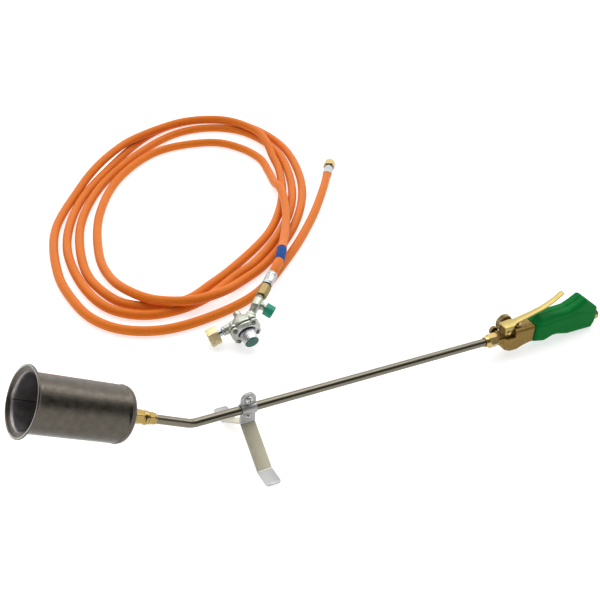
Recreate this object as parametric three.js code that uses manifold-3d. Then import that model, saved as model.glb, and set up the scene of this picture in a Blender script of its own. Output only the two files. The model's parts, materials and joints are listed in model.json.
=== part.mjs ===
// Propane roofing torch: a flared steel burner on a bent lance, with a sheet-steel stand and a brass
// lever valve in a plastic grip, and its hose and cylinder regulator lying loose beside it.
// Millimetres, +Z up. The torch stands on its two feet and the heel of the grip, at z = 0.
// +X runs from the burner to the grip, and the origin is under the middle of the torch.
import * as THREE from 'three';
import { mergeVertices } from 'three/addons/utils/BufferGeometryUtils.js';
import Module from 'manifold-3d';

const wasm = await Module();
wasm.setup();

// ---------------------------------------------------------------- driving dimensions
const SIDES = 16;                 // facets of a turned part
const GAP = 0.3;                  // clearance between pieces that touch

const TUBE_R = 5;                 // lance tube
const TUBE_WALL = 1;
const SOCKET_R = TUBE_R + GAP;
const LEAN = 4.35;                // the lance falls this many degrees towards the grip
const CLAMP_X = -125.73;          // where the stand clamps the lance
const CLAMP_Z = 53.1;
const BEND_S = -70;               // the bend, along the lance from the clamp
const BEND_RADIUS = 28;
const NECK_TILT = 26;             // from the lance up to the burner's axis

const COLLAR_T = [44.5, 56.4];    // stations along the neck, from the bend
const HOLDER_T = [56.8, 96];
const BACK_T = 86;
const MOUTH_T = 196.8;
const BELL_R = 30;
const FLARE_R = 36.2;
const BELL_WALL = 1.2;

const STRIP_WIDTH = 18;           // stand
const STRIP = 1.5;
const STRIP_S = -3;
const FOOT_DEPTH = 52.8;
const FOOT_REACH = 71.3;
const FOOT_BEND = 47.5;
const TAB_TOP = 21;
const LEG_TOP = 19.5;
const STAND_SCREW_H = 12.5;
const RIVET_H = 11;

const NUT_S = [324.7, 342.5];     // lance nut and valve body, along the lance
const SPIGOT_S = 338.6;
const NECK_S = 343;
const JOINT_S = 398;              // where the brass body meets the grip
const PIN = [356, 10.5];          // lever pin: along and above the lance
const PLUNGER_S = 374;
const FLOW = [368, 8];
const PILOT = [347, 5];
const INLET_DROP = 3;             // the inlet tube runs below the lance's axis
const INLET_S = [391.3, 497];
const STUB_S = 510.4;
const LEVER_T = 2.2;

const HOSE_R = 6.65;              // 6.3 mm bore, 3.5 mm wall
const HOSE_SIDES = 8;
const FERRULE_R = 7.4;
const FLANGE_R = 20;              // regulator
const SCREW_OUT = 13.1;
const INLET_BACK = 12;            // its inlet and outlet meet this far behind the diaphragm
const REGULATOR_AT = [-50, 172.9, 22.4];
const REGULATOR_TILT = 20;
const REGULATOR_ROLL = 20;
const OUTLET_AT = [-43.8, 179.5, 27.6];
const OUTLET_YAW = 43;
const OUTLET_RISE = 9;
const BUTTON_ROLL = 28;
const TAPE = [37, 87];            // along the hose from the ferrule
const END_AT = [267, 519, 8.8];   // the hose's free end
const END_YAW = 54;

// ---------------------------------------------------------------- materials
const look = (color, roughness, metalness) => new THREE.MeshStandardMaterial({ color, roughness, metalness });
const burnerSteel = () => look(0x4d4843, 0.42, 0.9);
const nickel = () => look(0x8b8478, 0.25, 1);
const zinc = () => look(0xb9b8b4, 0.4, 0.9);
const brass = () => look(0xbe9b4b, 0.3, 0.9);
const castBrass = () => look(0x8c6932, 0.55, 0.8);
const springSteel = () => look(0x9a9a9a, 0.35, 1);
const greenPlastic = () => look(0x0f7332, 0.45, 0);
const capPlastic = () => look(0x32967a, 0.4, 0);
const tealPlastic = () => look(0x35695c, 0.5, 0);
const orangeRubber = () => look(0xe87d3c, 0.55, 0);
const blackRubber = () => look(0x2a211f, 0.7, 0);
const blueTape = () => look(0x1f6fc4, 0.5, 0);

// ---------------------------------------------------------------- geometry helpers
const degrees = THREE.MathUtils.degToRad;
const X = new THREE.Vector3(1, 0, 0);
const Y = new THREE.Vector3(0, 1, 0);
const Z = new THREE.Vector3(0, 0, 1);
const basis = (a, b, c) => new THREE.Matrix4().makeBasis(a, b, c);
const aboutX = basis(Y.clone().negate(), X, Z);      // a turned profile's axis, Y, onto X
const aboutZ = basis(X, Z, Y.clone().negate());      // and onto Z
const fromSide = aboutZ;                             // an outline drawn in X and Z
const alongX = basis(Y, Z, X);                       // an outline drawn in Y and Z
const alongY = basis(Z, X, Y);

function solid(geometry, matrix) {
  const plain = geometry.clone();
  plain.deleteAttribute('normal');
  plain.deleteAttribute('uv');
  if (matrix) plain.applyMatrix4(matrix);
  const merged = mergeVertices(plain, 1e-4);
  const at = merged.attributes.position;
  const corner = (i) => new THREE.Vector3().fromBufferAttribute(at, i);
  const triVerts = [];
  let volume = 0;
  for (let i = 0; i < merged.index.count; i += 3) {
    const [a, b, c] = [0, 1, 2].map((k) => merged.index.getX(i + k));
    if (a === b || b === c || c === a) continue;
    triVerts.push(a, b, c);
    volume += corner(a).dot(corner(b).cross(corner(c)));
  }
  if (volume < 0) triVerts.reverse();
  return new wasm.Manifold(new wasm.Mesh({
    numProp: 3,
    vertProperties: new Float32Array(at.array),
    triVerts: new Uint32Array(triVerts),
  }));
}

function add(parent, name, body, material) {
  const mesh = body.getMesh();
  const geometry = new THREE.BufferGeometry();
  geometry.setAttribute('position', new THREE.BufferAttribute(mesh.vertProperties, 3));
  geometry.setIndex(new THREE.BufferAttribute(mesh.triVerts, 1));
  geometry.computeVertexNormals();
  const node = new THREE.Mesh(geometry, material);
  node.name = name;
  parent.add(node);
  return node;
}

const join = (...bodies) => bodies.reduce((all, next) => all.add(next));
const cut = (body, ...tools) => tools.reduce((rest, tool) => rest.subtract(tool), body);
const shift = (matrix, x, y, z) => new THREE.Matrix4().makeTranslation(x, y, z).multiply(matrix);

// A profile of [radius, distance along the axis] points, turned.
function turned(profile, matrix, sides = SIDES) {
  return solid(new THREE.LatheGeometry(profile.map((p) => new THREE.Vector2(...p)), sides), matrix);
}
const rod = (r, from, to, matrix, sides) => turned([[0, from], [r, from], [r, to], [0, to]], matrix, sides);
function ring(inner, outer, from, to, matrix, sides) {
  return turned([[inner, from], [outer, from], [outer, to], [inner, to], [inner, from]], matrix, sides);
}

function box(low, high) {
  const size = high.map((v, i) => v - low[i]);
  const middle = high.map((v, i) => (v + low[i]) / 2);
  return solid(new THREE.BoxGeometry(...size), new THREE.Matrix4().makeTranslation(...middle));
}

const outline = (points) => new THREE.Shape(points.map((p) => new THREE.Vector2(...p)));

// An outline extruded from one distance to another along the matrix's third axis.
function slab(shape, from, to, matrix = new THREE.Matrix4()) {
  const depth = to - from;
  const geometry = new THREE.ExtrudeGeometry(shape, { depth, bevelEnabled: false, curveSegments: 6 });
  geometry.translate(0, 0, from);
  return solid(geometry, matrix);
}

// The same between -halfWidth and halfWidth, with its edges rounded.
function pillow(points, halfWidth, round, segments) {
  const depth = 2 * (halfWidth - round);
  const geometry = new THREE.ExtrudeGeometry(outline(points), {
    depth,
    bevelThickness: round,
    bevelSize: round,
    bevelOffset: -round,
    bevelSegments: segments,
  });
  geometry.translate(0, 0, -depth / 2);
  return solid(geometry, fromSide);
}

function polygon(count, radius, turn = 0) {
  const corner = (_, i) => {
    const angle = turn + (2 * Math.PI * i) / count;
    return [radius * Math.cos(angle), radius * Math.sin(angle)];
  };
  return outline(Array.from({ length: count }, corner));
}
const hexagon = (acrossFlats, turn = 0) => polygon(6, acrossFlats / Math.sqrt(3), turn);

// A strip of one thickness that follows a line of points.
function strip(points, thickness) {
  const at = points.map((p) => new THREE.Vector2(...p));
  const side = (sign) => at.map((p, i) => {
    const along = at[Math.min(i + 1, at.length - 1)].clone().sub(at[Math.max(i - 1, 0)]).normalize();
    return p.clone().add(new THREE.Vector2(-along.y, along.x).multiplyScalar((sign * thickness) / 2));
  });
  return new THREE.Shape([...side(1), ...side(-1).reverse()]);
}

// A path through knots, sampled at the knots themselves.
class Knots extends THREE.Curve {
  constructor(knots) {
    super();
    this.knots = knots;
  }

  getPoint(t, target = new THREE.Vector3()) {
    return target.copy(this.knots[Math.round(t * (this.knots.length - 1))]);
  }

  getPointAt(t, target) {
    return this.getPoint(t, target);
  }

  getTangentAt(t, target = new THREE.Vector3()) {
    const last = this.knots.length - 1;
    const i = Math.round(t * last);
    const leg = (a, b) => this.knots[b].clone().sub(this.knots[a]).normalize();
    const before = leg(Math.max(i - 1, 0), Math.max(i, 1));
    const after = leg(Math.min(i, last - 1), Math.min(i + 1, last));
    return target.copy(before.add(after).normalize());
  }
}

// Part of a longer curve, measured along it.
class Stretch extends THREE.Curve {
  constructor(curve, from, to) {
    super();
    Object.assign(this, { curve, from, to });
  }

  getPoint(t, target) {
    return this.curve.getPointAt(this.from + (this.to - this.from) * t, target);
  }
}

function pipe(path, steps, shape) {
  return solid(new THREE.ExtrudeGeometry(shape, { steps, extrudePath: path, bevelEnabled: false }));
}

// ---------------------------------------------------------------- groups
const kit = new THREE.Group();
const lance = new THREE.Group();
lance.position.set(CLAMP_X, 0, CLAMP_Z);
lance.rotation.y = degrees(LEAN);
kit.add(lance);

const neck = new THREE.Group();
neck.position.set(BEND_S, 0, 0);
neck.rotation.y = -degrees(90 - NECK_TILT);
lance.add(neck);

// ---------------------------------------------------------------- burner
function bellShell() {
  const t = BACK_T;
  const m = MOUTH_T;
  const r = BELL_R;
  const w = BELL_WALL;
  return turned([
    [21.5, t + 1.2], [24, t], [27.2, t + 0.9], [29.3, t + 3.6], [r, t + 7.5],
    [r, m - 19], [r + 1.2, m - 11], [r + 3.6, m - 5], [FLARE_R - 0.4, m - 2.2], [FLARE_R, m - 1],
    [FLARE_R - 0.4, m],
    [FLARE_R - 1.6, m - 0.6], [r + 2.5, m - 4.4], [r, m - 10.6], [r - w, m - 19],
    [r - w, t + 7.5], [28.2, t + 4.2], [26.6, t + 2.1], [24, t + 1.2], [21.5, t + 2.4], [21.5, t + 1.2],
  ], aboutZ, 28);
}

function drilledDisc(radius, bore, holes, holeRadius, holeCircle, from, to) {
  const shape = new THREE.Shape().absarc(0, 0, radius, 0, 2 * Math.PI);
  const hole = (x, y, r) => shape.holes.push(new THREE.Path().absarc(x, y, r, 0, 2 * Math.PI, true));
  hole(0, 0, bore);
  for (let i = 0; i < holes; i++) {
    const angle = (2 * Math.PI * i) / holes;
    hole(holeCircle * Math.cos(angle), holeCircle * Math.sin(angle), holeRadius);
  }
  return slab(shape, from, to);
}

const backPlate = drilledDisc(26.2, 6.6, 6, 4.6, 17, BACK_T + 4, BACK_T + 5.4);
const flameHolder = drilledDisc(28.3, 9, 6, 3.5, 18.5, BACK_T + 28, BACK_T + 29.5);
const [holder0, holder1] = HOLDER_T;
const jetHolder = turned([
  [SOCKET_R, holder0], [7, holder0], [7.7, holder0 + 0.8], [7.7, BACK_T + 3.6], [6.3, BACK_T + 3.6],
  [6.3, holder1], [4.4, holder1], [4.4, holder1 - 7], [3, holder1 - 7], [3, holder0 + 5],
  [SOCKET_R, holder0 + 5], [SOCKET_R, holder0],
], aboutZ);
const gasJet = turned([
  [0.7, holder1 - 6.7], [4.1, holder1 - 6.7], [4.1, holder1 + GAP], [5, holder1 + GAP], [5, holder1 + 5],
  [2, holder1 + 11], [0.7, holder1 + 11], [0.7, holder1 - 6.7],
], aboutZ, 16);
const [collar0, collar1] = COLLAR_T;
const collar = turned([
  [SOCKET_R, collar0], [6.3, collar0], [6.8, collar0 + 0.6], [6.8, collar1 - 0.6], [6.3, collar1],
  [SOCKET_R, collar1], [SOCKET_R, collar0],
], aboutZ);

add(neck, 'bell_shell', bellShell(), burnerSteel());
add(neck, 'bell_back', backPlate, burnerSteel());
add(neck, 'flame_holder', flameHolder, burnerSteel());
add(neck, 'jet_holder', jetHolder, brass());
add(neck, 'gas_jet', gasJet, brass());
add(neck, 'lance_collar', collar, brass());

// ---------------------------------------------------------------- lance tube
function lanceKnots() {
  const turn = degrees(NECK_TILT);
  const tangent = BEND_RADIUS * Math.tan(turn / 2);
  const knots = [new THREE.Vector3(NECK_S + 0.5, 0, 0)];
  const segments = 6;
  for (let i = 0; i <= segments; i++) {
    const angle = (turn * i) / segments;
    const x = BEND_S + tangent - BEND_RADIUS * Math.sin(angle);
    knots.push(new THREE.Vector3(x, 0, BEND_RADIUS * (1 - Math.cos(angle))));
  }
  const end = holder0 + 4.6;
  knots.push(new THREE.Vector3(BEND_S - end * Math.cos(turn), 0, end * Math.sin(turn)));
  return knots;
}
const lancePath = new Knots(lanceKnots());
const tubeSection = polygon(16, TUBE_R);
tubeSection.holes.push(polygon(12, TUBE_R - TUBE_WALL));
add(lance, 'lance_tube', pipe(lancePath, lancePath.knots.length - 1, tubeSection), nickel());

// ---------------------------------------------------------------- stand
function standLeg(side) {
  const inner = 0.15;
  const outer = inner + STRIP;
  const round = SOCKET_R + STRIP;
  const angle = Math.acos(outer / round);
  const shape = new THREE.Shape();
  shape.moveTo(inner, TAB_TOP);
  shape.lineTo(inner, SOCKET_R);
  shape.absarc(0, 0, SOCKET_R, Math.PI / 2 - 0.03, -Math.PI / 2 + 0.03, true);
  shape.lineTo(inner, -LEG_TOP);
  shape.lineTo(FOOT_BEND, -FOOT_DEPTH);
  shape.lineTo(FOOT_REACH, -FOOT_DEPTH);
  shape.lineTo(FOOT_REACH, -FOOT_DEPTH + STRIP);
  shape.lineTo(FOOT_BEND + 0.5, -FOOT_DEPTH + STRIP);
  shape.lineTo(outer, -LEG_TOP + 0.9);
  shape.absarc(0, 0, round, -angle, angle, false);
  shape.lineTo(outer, TAB_TOP);
  const half = STRIP_WIDTH / 2;
  const tab = new THREE.Shape();
  tab.moveTo(-half, -FOOT_DEPTH - 1);
  tab.lineTo(half, -FOOT_DEPTH - 1);
  tab.lineTo(half, TAB_TOP - half);
  tab.absarc(0, TAB_TOP - half, half, 0, Math.PI, false);
  const corner = 4;
  const foot = new THREE.Shape();
  foot.moveTo(-half, 0);
  foot.lineTo(half, 0);
  foot.absarc(half - corner, FOOT_REACH - corner, corner, 0, Math.PI / 2, false);
  foot.absarc(corner - half, FOOT_REACH - corner, corner, Math.PI / 2, Math.PI, false);
  const bent = slab(shape, -half, half, alongX);
  const trimmed = bent.intersect(slab(tab, -FOOT_REACH - 1, 1, fromSide)).intersect(slab(foot, -60, 30));
  const holes = [
    rod(2.8, -1, 4, shift(new THREE.Matrix4(), 0, 0, STAND_SCREW_H), 12),
    rod(1.7, -1, 4, shift(new THREE.Matrix4(), 0, 0, -RIVET_H), 12),
  ];
  return cut(trimmed, ...holes).scale([1, side, 1]).translate([STRIP_S, 0, 0]);
}
add(lance, 'stand_leg_near', standLeg(-1), zinc());
add(lance, 'stand_leg_far', standLeg(1), zinc());

const facing = 0.15 + STRIP + GAP;
const panHead = turned([
  [0, -facing - 3.2], [3, -facing - 2.8], [5, -facing - 1.2], [5.3, -facing], [2.4, -facing], [2.4, 8],
  [0, 8],
]);
const recess = [
  box([-2.8, -7, -0.5], [2.8, -facing - 1.4, 0.5]),
  box([-0.5, -7, -2.8], [0.5, -facing - 1.4, 2.8]),
];
const atScrew = [STRIP_S, 0, STAND_SCREW_H];
add(lance, 'stand_screw', cut(panHead, ...recess).translate(atScrew), zinc());
const standNut = cut(slab(hexagon(8), facing, facing + 4, alongY), rod(2.7, 0, 8, undefined, 12));
add(lance, 'stand_nut', standNut.translate(atScrew), zinc());
const rivet = turned([
  [0, -facing - 1.6], [1.8, -facing - 1.2], [2.7, -facing], [1.4, -facing], [1.4, facing], [2.5, facing],
  [1.6, facing + 1.1], [0, facing + 1.4],
], undefined, 14);
add(lance, 'stand_rivet', rivet.translate([STRIP_S, 0, -RIVET_H]), zinc());

// ---------------------------------------------------------------- lance nut
const [nut0, nut1] = NUT_S;
const nutCone = turned([[0, nut0], [6.3, nut0], [7.3, nut0 + 4.6], [7.3, nut0 + 5], [0, nut0 + 5]], aboutX);
const lanceNut = cut(
  join(nutCone, slab(hexagon(15.5), nut0 + 4.4, nut1, alongX)),
  rod(SOCKET_R, nut0 - 1, nut1 + 1, aboutX),
  rod(6.9, nut0 + 7, nut1 + 1, aboutX),
);
add(lance, 'lance_nut', lanceNut, brass());
const olive = turned([
  [5.2, 332.2], [5.7, 332.2], [6.4, 334], [6.4, 336], [5.7, 338], [5.2, 338], [5.2, 332.2],
], aboutX);
add(lance, 'lance_olive', olive, brass());

// ---------------------------------------------------------------- valve body and what it holds
const bodyLine = [
  [350.5, -8], [355, -16.4], [366, -18.6], [377, -18.4], [386, -14.6], [398, -12.7], [412, -12.7],
  [412, 12.7], [398, 12.7], [366, 13], [361, 15], [352.5, 15], [350, 8],
];
const upward = (s) => shift(aboutZ, s, 0, 0);
const outward = ([s, h]) => shift(new THREE.Matrix4(), s, 0, h);
const valveBody = cut(
  join(
    pillow(bodyLine, 11.5, 4, 2).intersect(box([340, -20, -30], [JOINT_S - GAP, 20, 30])),
    slab(hexagon(15, Math.PI / 6), NECK_S, 353, alongX),
    rod(6.5, SPIGOT_S, NECK_S + 1, aboutX),
    rod(3.6, 3, 8.6, outward(PILOT), 14),
  ),
  box([346, 5.3, 3.2], [365, 13, 20]),
  box([346, -13, 3.2], [365, -5.3, 20]),
  rod(SOCKET_R, SPIGOT_S - 1, NECK_S + 1, aboutX),
  rod(3, NECK_S, 380, aboutX, 12),
  rod(3, 372, JOINT_S, shift(aboutX, 0, 0, -INLET_DROP), 12),
  rod(6.4, INLET_S[0] - GAP, JOINT_S, shift(aboutX, 0, 0, -INLET_DROP)),
  rod(3.3, -14, 14, upward(PLUNGER_S), 14),
  rod(4.4, 8, 14, upward(PLUNGER_S), 14),
  rod(2.4, 4.6, 13, outward(FLOW), 14),
  rod(4.8, 8, 13, outward(FLOW), 14),
  rod(1.9, 2, 9, outward(PILOT), 12),
  rod(6.6, 8.8, 14, outward(PILOT), 14),
  rod(1.9, -13, 13, outward(PIN), 12),
);
add(lance, 'valve_body', valveBody, castBrass());

const plunger = turned([[0, -2], [2, -2], [2, 18.2], [3, 18.2], [3, 19], [0, 19.6]], upward(PLUNGER_S), 14);
add(lance, 'valve_plunger', plunger, brass());
add(lance, 'valve_seal', rod(3, -4, -2.3, upward(PLUNGER_S), 14), blackRubber());
add(lance, 'plunger_spring', ring(2.1, 2.9, -13.7, -4.3, upward(PLUNGER_S), 14), springSteel());
const plungerGland = turned([
  [2.3, 8.3], [4.1, 8.3], [4.1, 13.3], [5.4, 13.3], [5.4, 15.2], [4.9, 15.7], [2.3, 15.7], [2.3, 8.3],
], upward(PLUNGER_S));
add(lance, 'plunger_gland', plungerGland, brass());

// ---------------------------------------------------------------- lever
const leverLine = [
  [349.5, 17.8], [362, 18.8], [374, 21.4], [398, 26.8], [410, 30.1], [421, 34.7], [428, 38.5], [434, 42.6],
  [441, 47.6],
];
const leverPlan = [
  [349, -7.1], [364, -7.1], [372, -5.2], [396, -3.4], [438, -3.2], [440.6, -2], [441.6, 0],
  [440.6, 2], [438, 3.2], [396, 3.4], [372, 5.2], [364, 7.1], [349, 7.1],
];
const earLine = [
  [350.2, 17.9], [350.2, 9], [352.4, 5.6], [356, 4.6], [359.6, 5.6], [361.8, 9], [363.4, 18.9],
];
const lever = cut(
  join(
    slab(strip(leverLine, LEVER_T), -8, 8, fromSide).intersect(slab(outline(leverPlan), 0, 60)),
    slab(outline(earLine), 5.6, 7.1, fromSide),
    slab(outline(earLine), -7.1, -5.6, fromSide),
  ),
  rod(1.9, -8, 8, outward(PIN), 12),
);
add(lance, 'lever', lever, brass());
const pinProfile = [[0, -8.6], [2.2, -8.6], [2.7, -8], [2.7, -7.4], [1.6, -7.4], [1.6, 8.4], [0, 8.4]];
add(lance, 'lever_pin', turned(pinProfile, outward(PIN), 14), brass());

// ---------------------------------------------------------------- flow knob and pilot screw
function knurled(radius, teeth, from, to, matrix) {
  const corner = (i) => {
    const r = i % 2 ? radius : radius * 0.94;
    const angle = (Math.PI * i) / teeth;
    return [r * Math.cos(angle), r * Math.sin(angle)];
  };
  return slab(outline(Array.from({ length: 2 * teeth }, (_, i) => corner(i))), from, to, matrix);
}
const flowAt = [FLOW[0], 0, FLOW[1]];
const flowGland = turned([
  [2.4, 8.3], [4.5, 8.3], [4.5, 11.8], [6, 11.8], [6, 14], [2.4, 14], [2.4, 8.3],
]);
add(lance, 'flow_gland', flowGland.translate(flowAt), brass());
const flowKnob = join(knurled(11, 20, 14.4, 21.4, alongY), rod(2, 5.2, 15, undefined, 14));
add(lance, 'flow_knob', flowKnob.translate(flowAt), brass());
const pilotScrew = cut(
  join(knurled(6, 14, 9.2, 13.8, alongY), rod(1.5, 2.6, 10, undefined, 12)),
  box([-6.5, 12.8, -0.6], [6.5, 15, 0.6]),
);
add(lance, 'pilot_screw', pilotScrew.translate([PILOT[0], 0, PILOT[1]]), brass());

// ---------------------------------------------------------------- inlet and grip
const dropped = shift(aboutX, 0, 0, -INLET_DROP);
add(lance, 'inlet_tube', ring(4, 6, ...INLET_S, dropped), brass());
const inletFitting = cut(
  join(
    slab(hexagon(15, Math.PI / 6), 488, 499, shift(alongX, 0, 0, -INLET_DROP)),
    turned([[0, 498], [7.2, 498], [7.2, STUB_S - 1], [6.4, STUB_S], [0, STUB_S]], dropped),
  ),
  rod(6.3, 487, INLET_S[1] + GAP, dropped),
  rod(4.4, 490, STUB_S + 1, dropped),
);
add(lance, 'inlet_fitting', inletFitting, brass());

const gripLine = [
  [386, 12.7], [399, 12.7], [406, 20.2], [428, 21.4], [452, 22.4], [463, 27], [475.5, 34.4], [500.6, 15.5],
  [501.6, -5], [496.5, -15.48], [455, -15.4], [437, -11.4], [429, -11.4], [416, -16.4], [399, -12.7],
  [386, -12.7],
];
const gripHoles = [[413, 13], [474, 19]];
const screwBores = gripHoles.map((at) => rod(1.8, -7, 13, outward(at), 12));
const counterbores = gripHoles.map((at) => rod(3.3, 9, 14, outward(at), 12));
const gripSolid = cut(
  pillow(gripLine, 12.6, 6, 3).intersect(box([JOINT_S, -20, -30], [520, 20, 50])),
  rod(6.4, 390, 489, dropped),
  rod(9, 487.5, 496, dropped),
  slab(hexagon(15.8, Math.PI / 6), 495, 500, shift(alongX, 0, 0, -INLET_DROP)),
  rod(7.6, 495, 503, dropped),
  ...screwBores,
  ...counterbores,
);
add(lance, 'grip_near', gripSolid.intersect(box([380, -20, -30], [520, -0.15, 50])), greenPlastic());
add(lance, 'grip_far', gripSolid.intersect(box([380, 0.15, -30], [520, 20, 50])), greenPlastic());
const gripScrewProfile = [[0, -6.6], [1.5, -5], [1.5, 9.3], [3, 9.3], [3, 11.2], [0, 11.6]];
['front', 'rear'].forEach((place, i) => {
  add(lance, `grip_screw_${place}`, turned(gripScrewProfile, outward(gripHoles[i]), 12), zinc());
});

// ---------------------------------------------------------------- regulator
const regulator = new THREE.Group();
regulator.position.set(...REGULATOR_AT);
regulator.rotation.set(degrees(90 + REGULATOR_TILT), 0, degrees(REGULATOR_ROLL));
kit.add(regulator);

const outlet = new THREE.Group();
outlet.position.set(...OUTLET_AT);
outlet.rotation.set(0, -degrees(OUTLET_RISE), degrees(OUTLET_YAW), 'ZYX');
kit.add(outlet);

regulator.updateMatrix();
outlet.updateMatrix();
const outletInRegulator = regulator.matrix.clone().invert().multiply(outlet.matrix).multiply(aboutX);
const corners = [[1, 1], [-1, 1], [-1, -1], [1, -1]].map(([i, j]) => [i * SCREW_OUT, j * SCREW_OUT]);
const at2 = ([x, y]) => shift(aboutZ, x, y, 0);
function flange(from, to) {
  return join(rod(FLANGE_R, from, to, aboutZ, 20), ...corners.map((c) => rod(5.6, from, to, at2(c), 10)));
}
const earHoles = corners.map((c) => rod(1.9, -10, 10, at2(c), 8));
const inletAxis = shift(aboutX, 0, 0, -INLET_BACK);

const base = cut(
  join(
    flange(-4.6, -0.7),
    turned([[0, -19.2], [8, -19.2], [14, -12], [16.5, -4.5], [0, -4.5]], aboutZ),
    rod(6.5, -24, 0, inletAxis),
    rod(6.8, 0, 15, outletInRegulator),
  ),
  ...earHoles,
  turned([[0, -9], [9, -9], [12.5, -0.5], [0, -0.5]], aboutZ),
  rod(3.2, -25, 0, inletAxis, 12),
  rod(3.2, 2, 16, outletInRegulator, 12),
  rod(4.4, -20, -8.5, aboutZ),
);
add(regulator, 'regulator_base', base, zinc());
const plugProfile = [[0, -28], [4.6, -28], [5.2, -27.4], [5.2, -19.5], [4.1, -19.5], [4.1, -15], [0, -15]];
add(regulator, 'back_plug', turned(plugProfile, aboutZ), zinc());
add(regulator, 'diaphragm', rod(15.4, -0.4, 0.4, aboutZ, 24), blackRubber());
add(regulator, 'diaphragm_plate', rod(8.5, 0.7, 1.5, aboutZ), zinc());

const bonnet = cut(
  join(
    flange(0.7, 4),
    turned([[0, 3.8], [16, 3.8], [14.4, 5.8], [13, 6.2], [12, 5.2], [8.4, 5.2], [8.4, 14], [0, 14]], aboutZ),
  ),
  ...earHoles,
  turned([[0, 0.5], [11, 0.5], [10, 3], [0, 3]], aboutZ),
  rod(6, 0, 15, aboutZ),
);
add(regulator, 'regulator_bonnet', bonnet, zinc());
const bonnetScrew = [[0, -6], [1.6, -6], [1.6, 4.3], [2.9, 4.3], [2.9, 5.8], [2.2, 6.5], [0, 6.5]];
corners.forEach((c, i) => {
  add(regulator, `bonnet_screw_${i + 1}`, turned(bonnetScrew, at2(c), 8), springSteel());
});
add(regulator, 'pressure_spring', ring(4.3, 5.5, 1.8, 8.9, aboutZ, 16), springSteel());
add(regulator, 'spring_plate', rod(5.6, 9.2, 10.2, aboutZ, 16), zinc());
add(regulator, 'dust_ring', ring(8.7, 10.2, 5.6, 6.8, aboutZ), blackRubber());
const adjustingKnob = join(
  turned([[8.8, 7.2], [10.2, 7.2], [9.7, 21], [0, 21], [0, 18], [8.8, 18], [8.8, 7.2]], aboutZ, 24),
  rod(5.6, 10.6, 18.5, aboutZ),
);
add(regulator, 'adjusting_knob', adjustingKnob, zinc());
add(regulator, 'knob_cap', rod(9.3, 21.3, 22.5, aboutZ, 24), tealPlastic());

const stem = cut(
  turned([
    [0, -45], [2.8, -45], [4.4, -42], [4.4, -39], [7.4, -39], [7.4, -36.3], [4.5, -36.3], [4.5, -27],
    [6, -27], [6, -24.3], [0, -24.3],
  ], inletAxis),
  rod(2, -46, -20, inletAxis, 10),
);
add(regulator, 'inlet_stem', stem, nickel());
add(regulator, 'bottle_washer', ring(4.7, 7.4, -41, -39.3, inletAxis), blackRubber());
const bottleNut = cut(
  slab(hexagon(22, degrees(15)), -47.3, -32.3, shift(alongX, 0, 0, -INLET_BACK)),
  rod(8.2, -48, -36, inletAxis),
  rod(4.8, -40, -30, inletAxis),
);
add(regulator, 'bottle_nut', bottleNut, brass());

// ---------------------------------------------------------------- outlet, hose-rupture valve and its button
add(outlet, 'outlet_tube', ring(2.8, 5.5, 15.3, 28.4, aboutX), zinc());
const buttonAxis = new THREE.Matrix4().makeRotationX(degrees(BUTTON_ROLL)).setPosition(36, 0, 0);
const downStub = buttonAxis.clone().multiply(new THREE.Matrix4().makeRotationX(Math.PI));
const ruptureBody = cut(
  join(
    rod(6.4, 28.7, 44, aboutX),
    rod(4.6, 43, 56, aboutX),
    rod(4.6, 0, 15, downStub),
  ),
  rod(2.8, 28, 57, aboutX, 12),
  rod(3.4, 7, 16, downStub, 14),
);
add(outlet, 'rupture_valve_body', ruptureBody, zinc());
const buttonCap = slab(polygon(8, 8.9, degrees(22.5)), 12.4, 24.4, buttonAxis.clone().multiply(fromSide));
const button = join(cut(buttonCap, rod(5.2, 11, 18, downStub)), rod(1.8, 9.5, 19, downStub, 12));
add(outlet, 'reset_button', button, capPlastic());
add(outlet, 'reset_spring', ring(2.2, 3.1, 7.4, 17.6, downStub, 14), springSteel());
const outletNut = cut(
  slab(hexagon(14, degrees(10)), 50, 70, alongX),
  rod(4.9, 49, 60, aboutX),
  rod(5.8, 58, 66, aboutX),
  rod(4.9, 64, 71, aboutX),
);
add(outlet, 'outlet_nut', outletNut, brass());
const nippleA = turned([
  [2.2, 58.5], [5.4, 58.5], [5.4, 65.6], [4.5, 65.6], [4.5, 72], [3, 72], [3, 94], [2.2, 94], [2.2, 58.5],
], aboutX, 16);
add(outlet, 'hose_nipple_regulator', nippleA, brass());
const ferrule = (from, to) => turned([
  [3.3, from], [FERRULE_R - 0.6, from], [FERRULE_R, from + 0.7], [FERRULE_R, to - 0.7],
  [FERRULE_R - 0.6, to], [3.3, to], [3.3, from],
], aboutX);
add(outlet, 'ferrule_regulator', ferrule(72.3, 94.5), zinc());

// ---------------------------------------------------------------- free end of the hose
const freeEnd = new THREE.Group();
freeEnd.position.set(...END_AT);
freeEnd.rotation.z = degrees(END_YAW);
kit.add(freeEnd);
add(freeEnd, 'ferrule_torch', ferrule(GAP, 23.5), zinc());
const nippleB = turned([
  [2.2, 0.6], [3, 0.6], [3, 23.8], [4.4, 23.8], [4.4, 30], [6, 32], [6, 35], [5, 36.5], [2.2, 36.5],
  [2.2, 0.6],
], aboutX, 16);
add(freeEnd, 'hose_nipple_torch', nippleB, brass());
const freeNut = cut(slab(hexagon(17), 26, 43, alongX), rod(4.8, 25, 32, aboutX), rod(7.6, 30.3, 44, aboutX));
add(freeEnd, 'hose_nut_torch', freeNut, brass());

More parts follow.
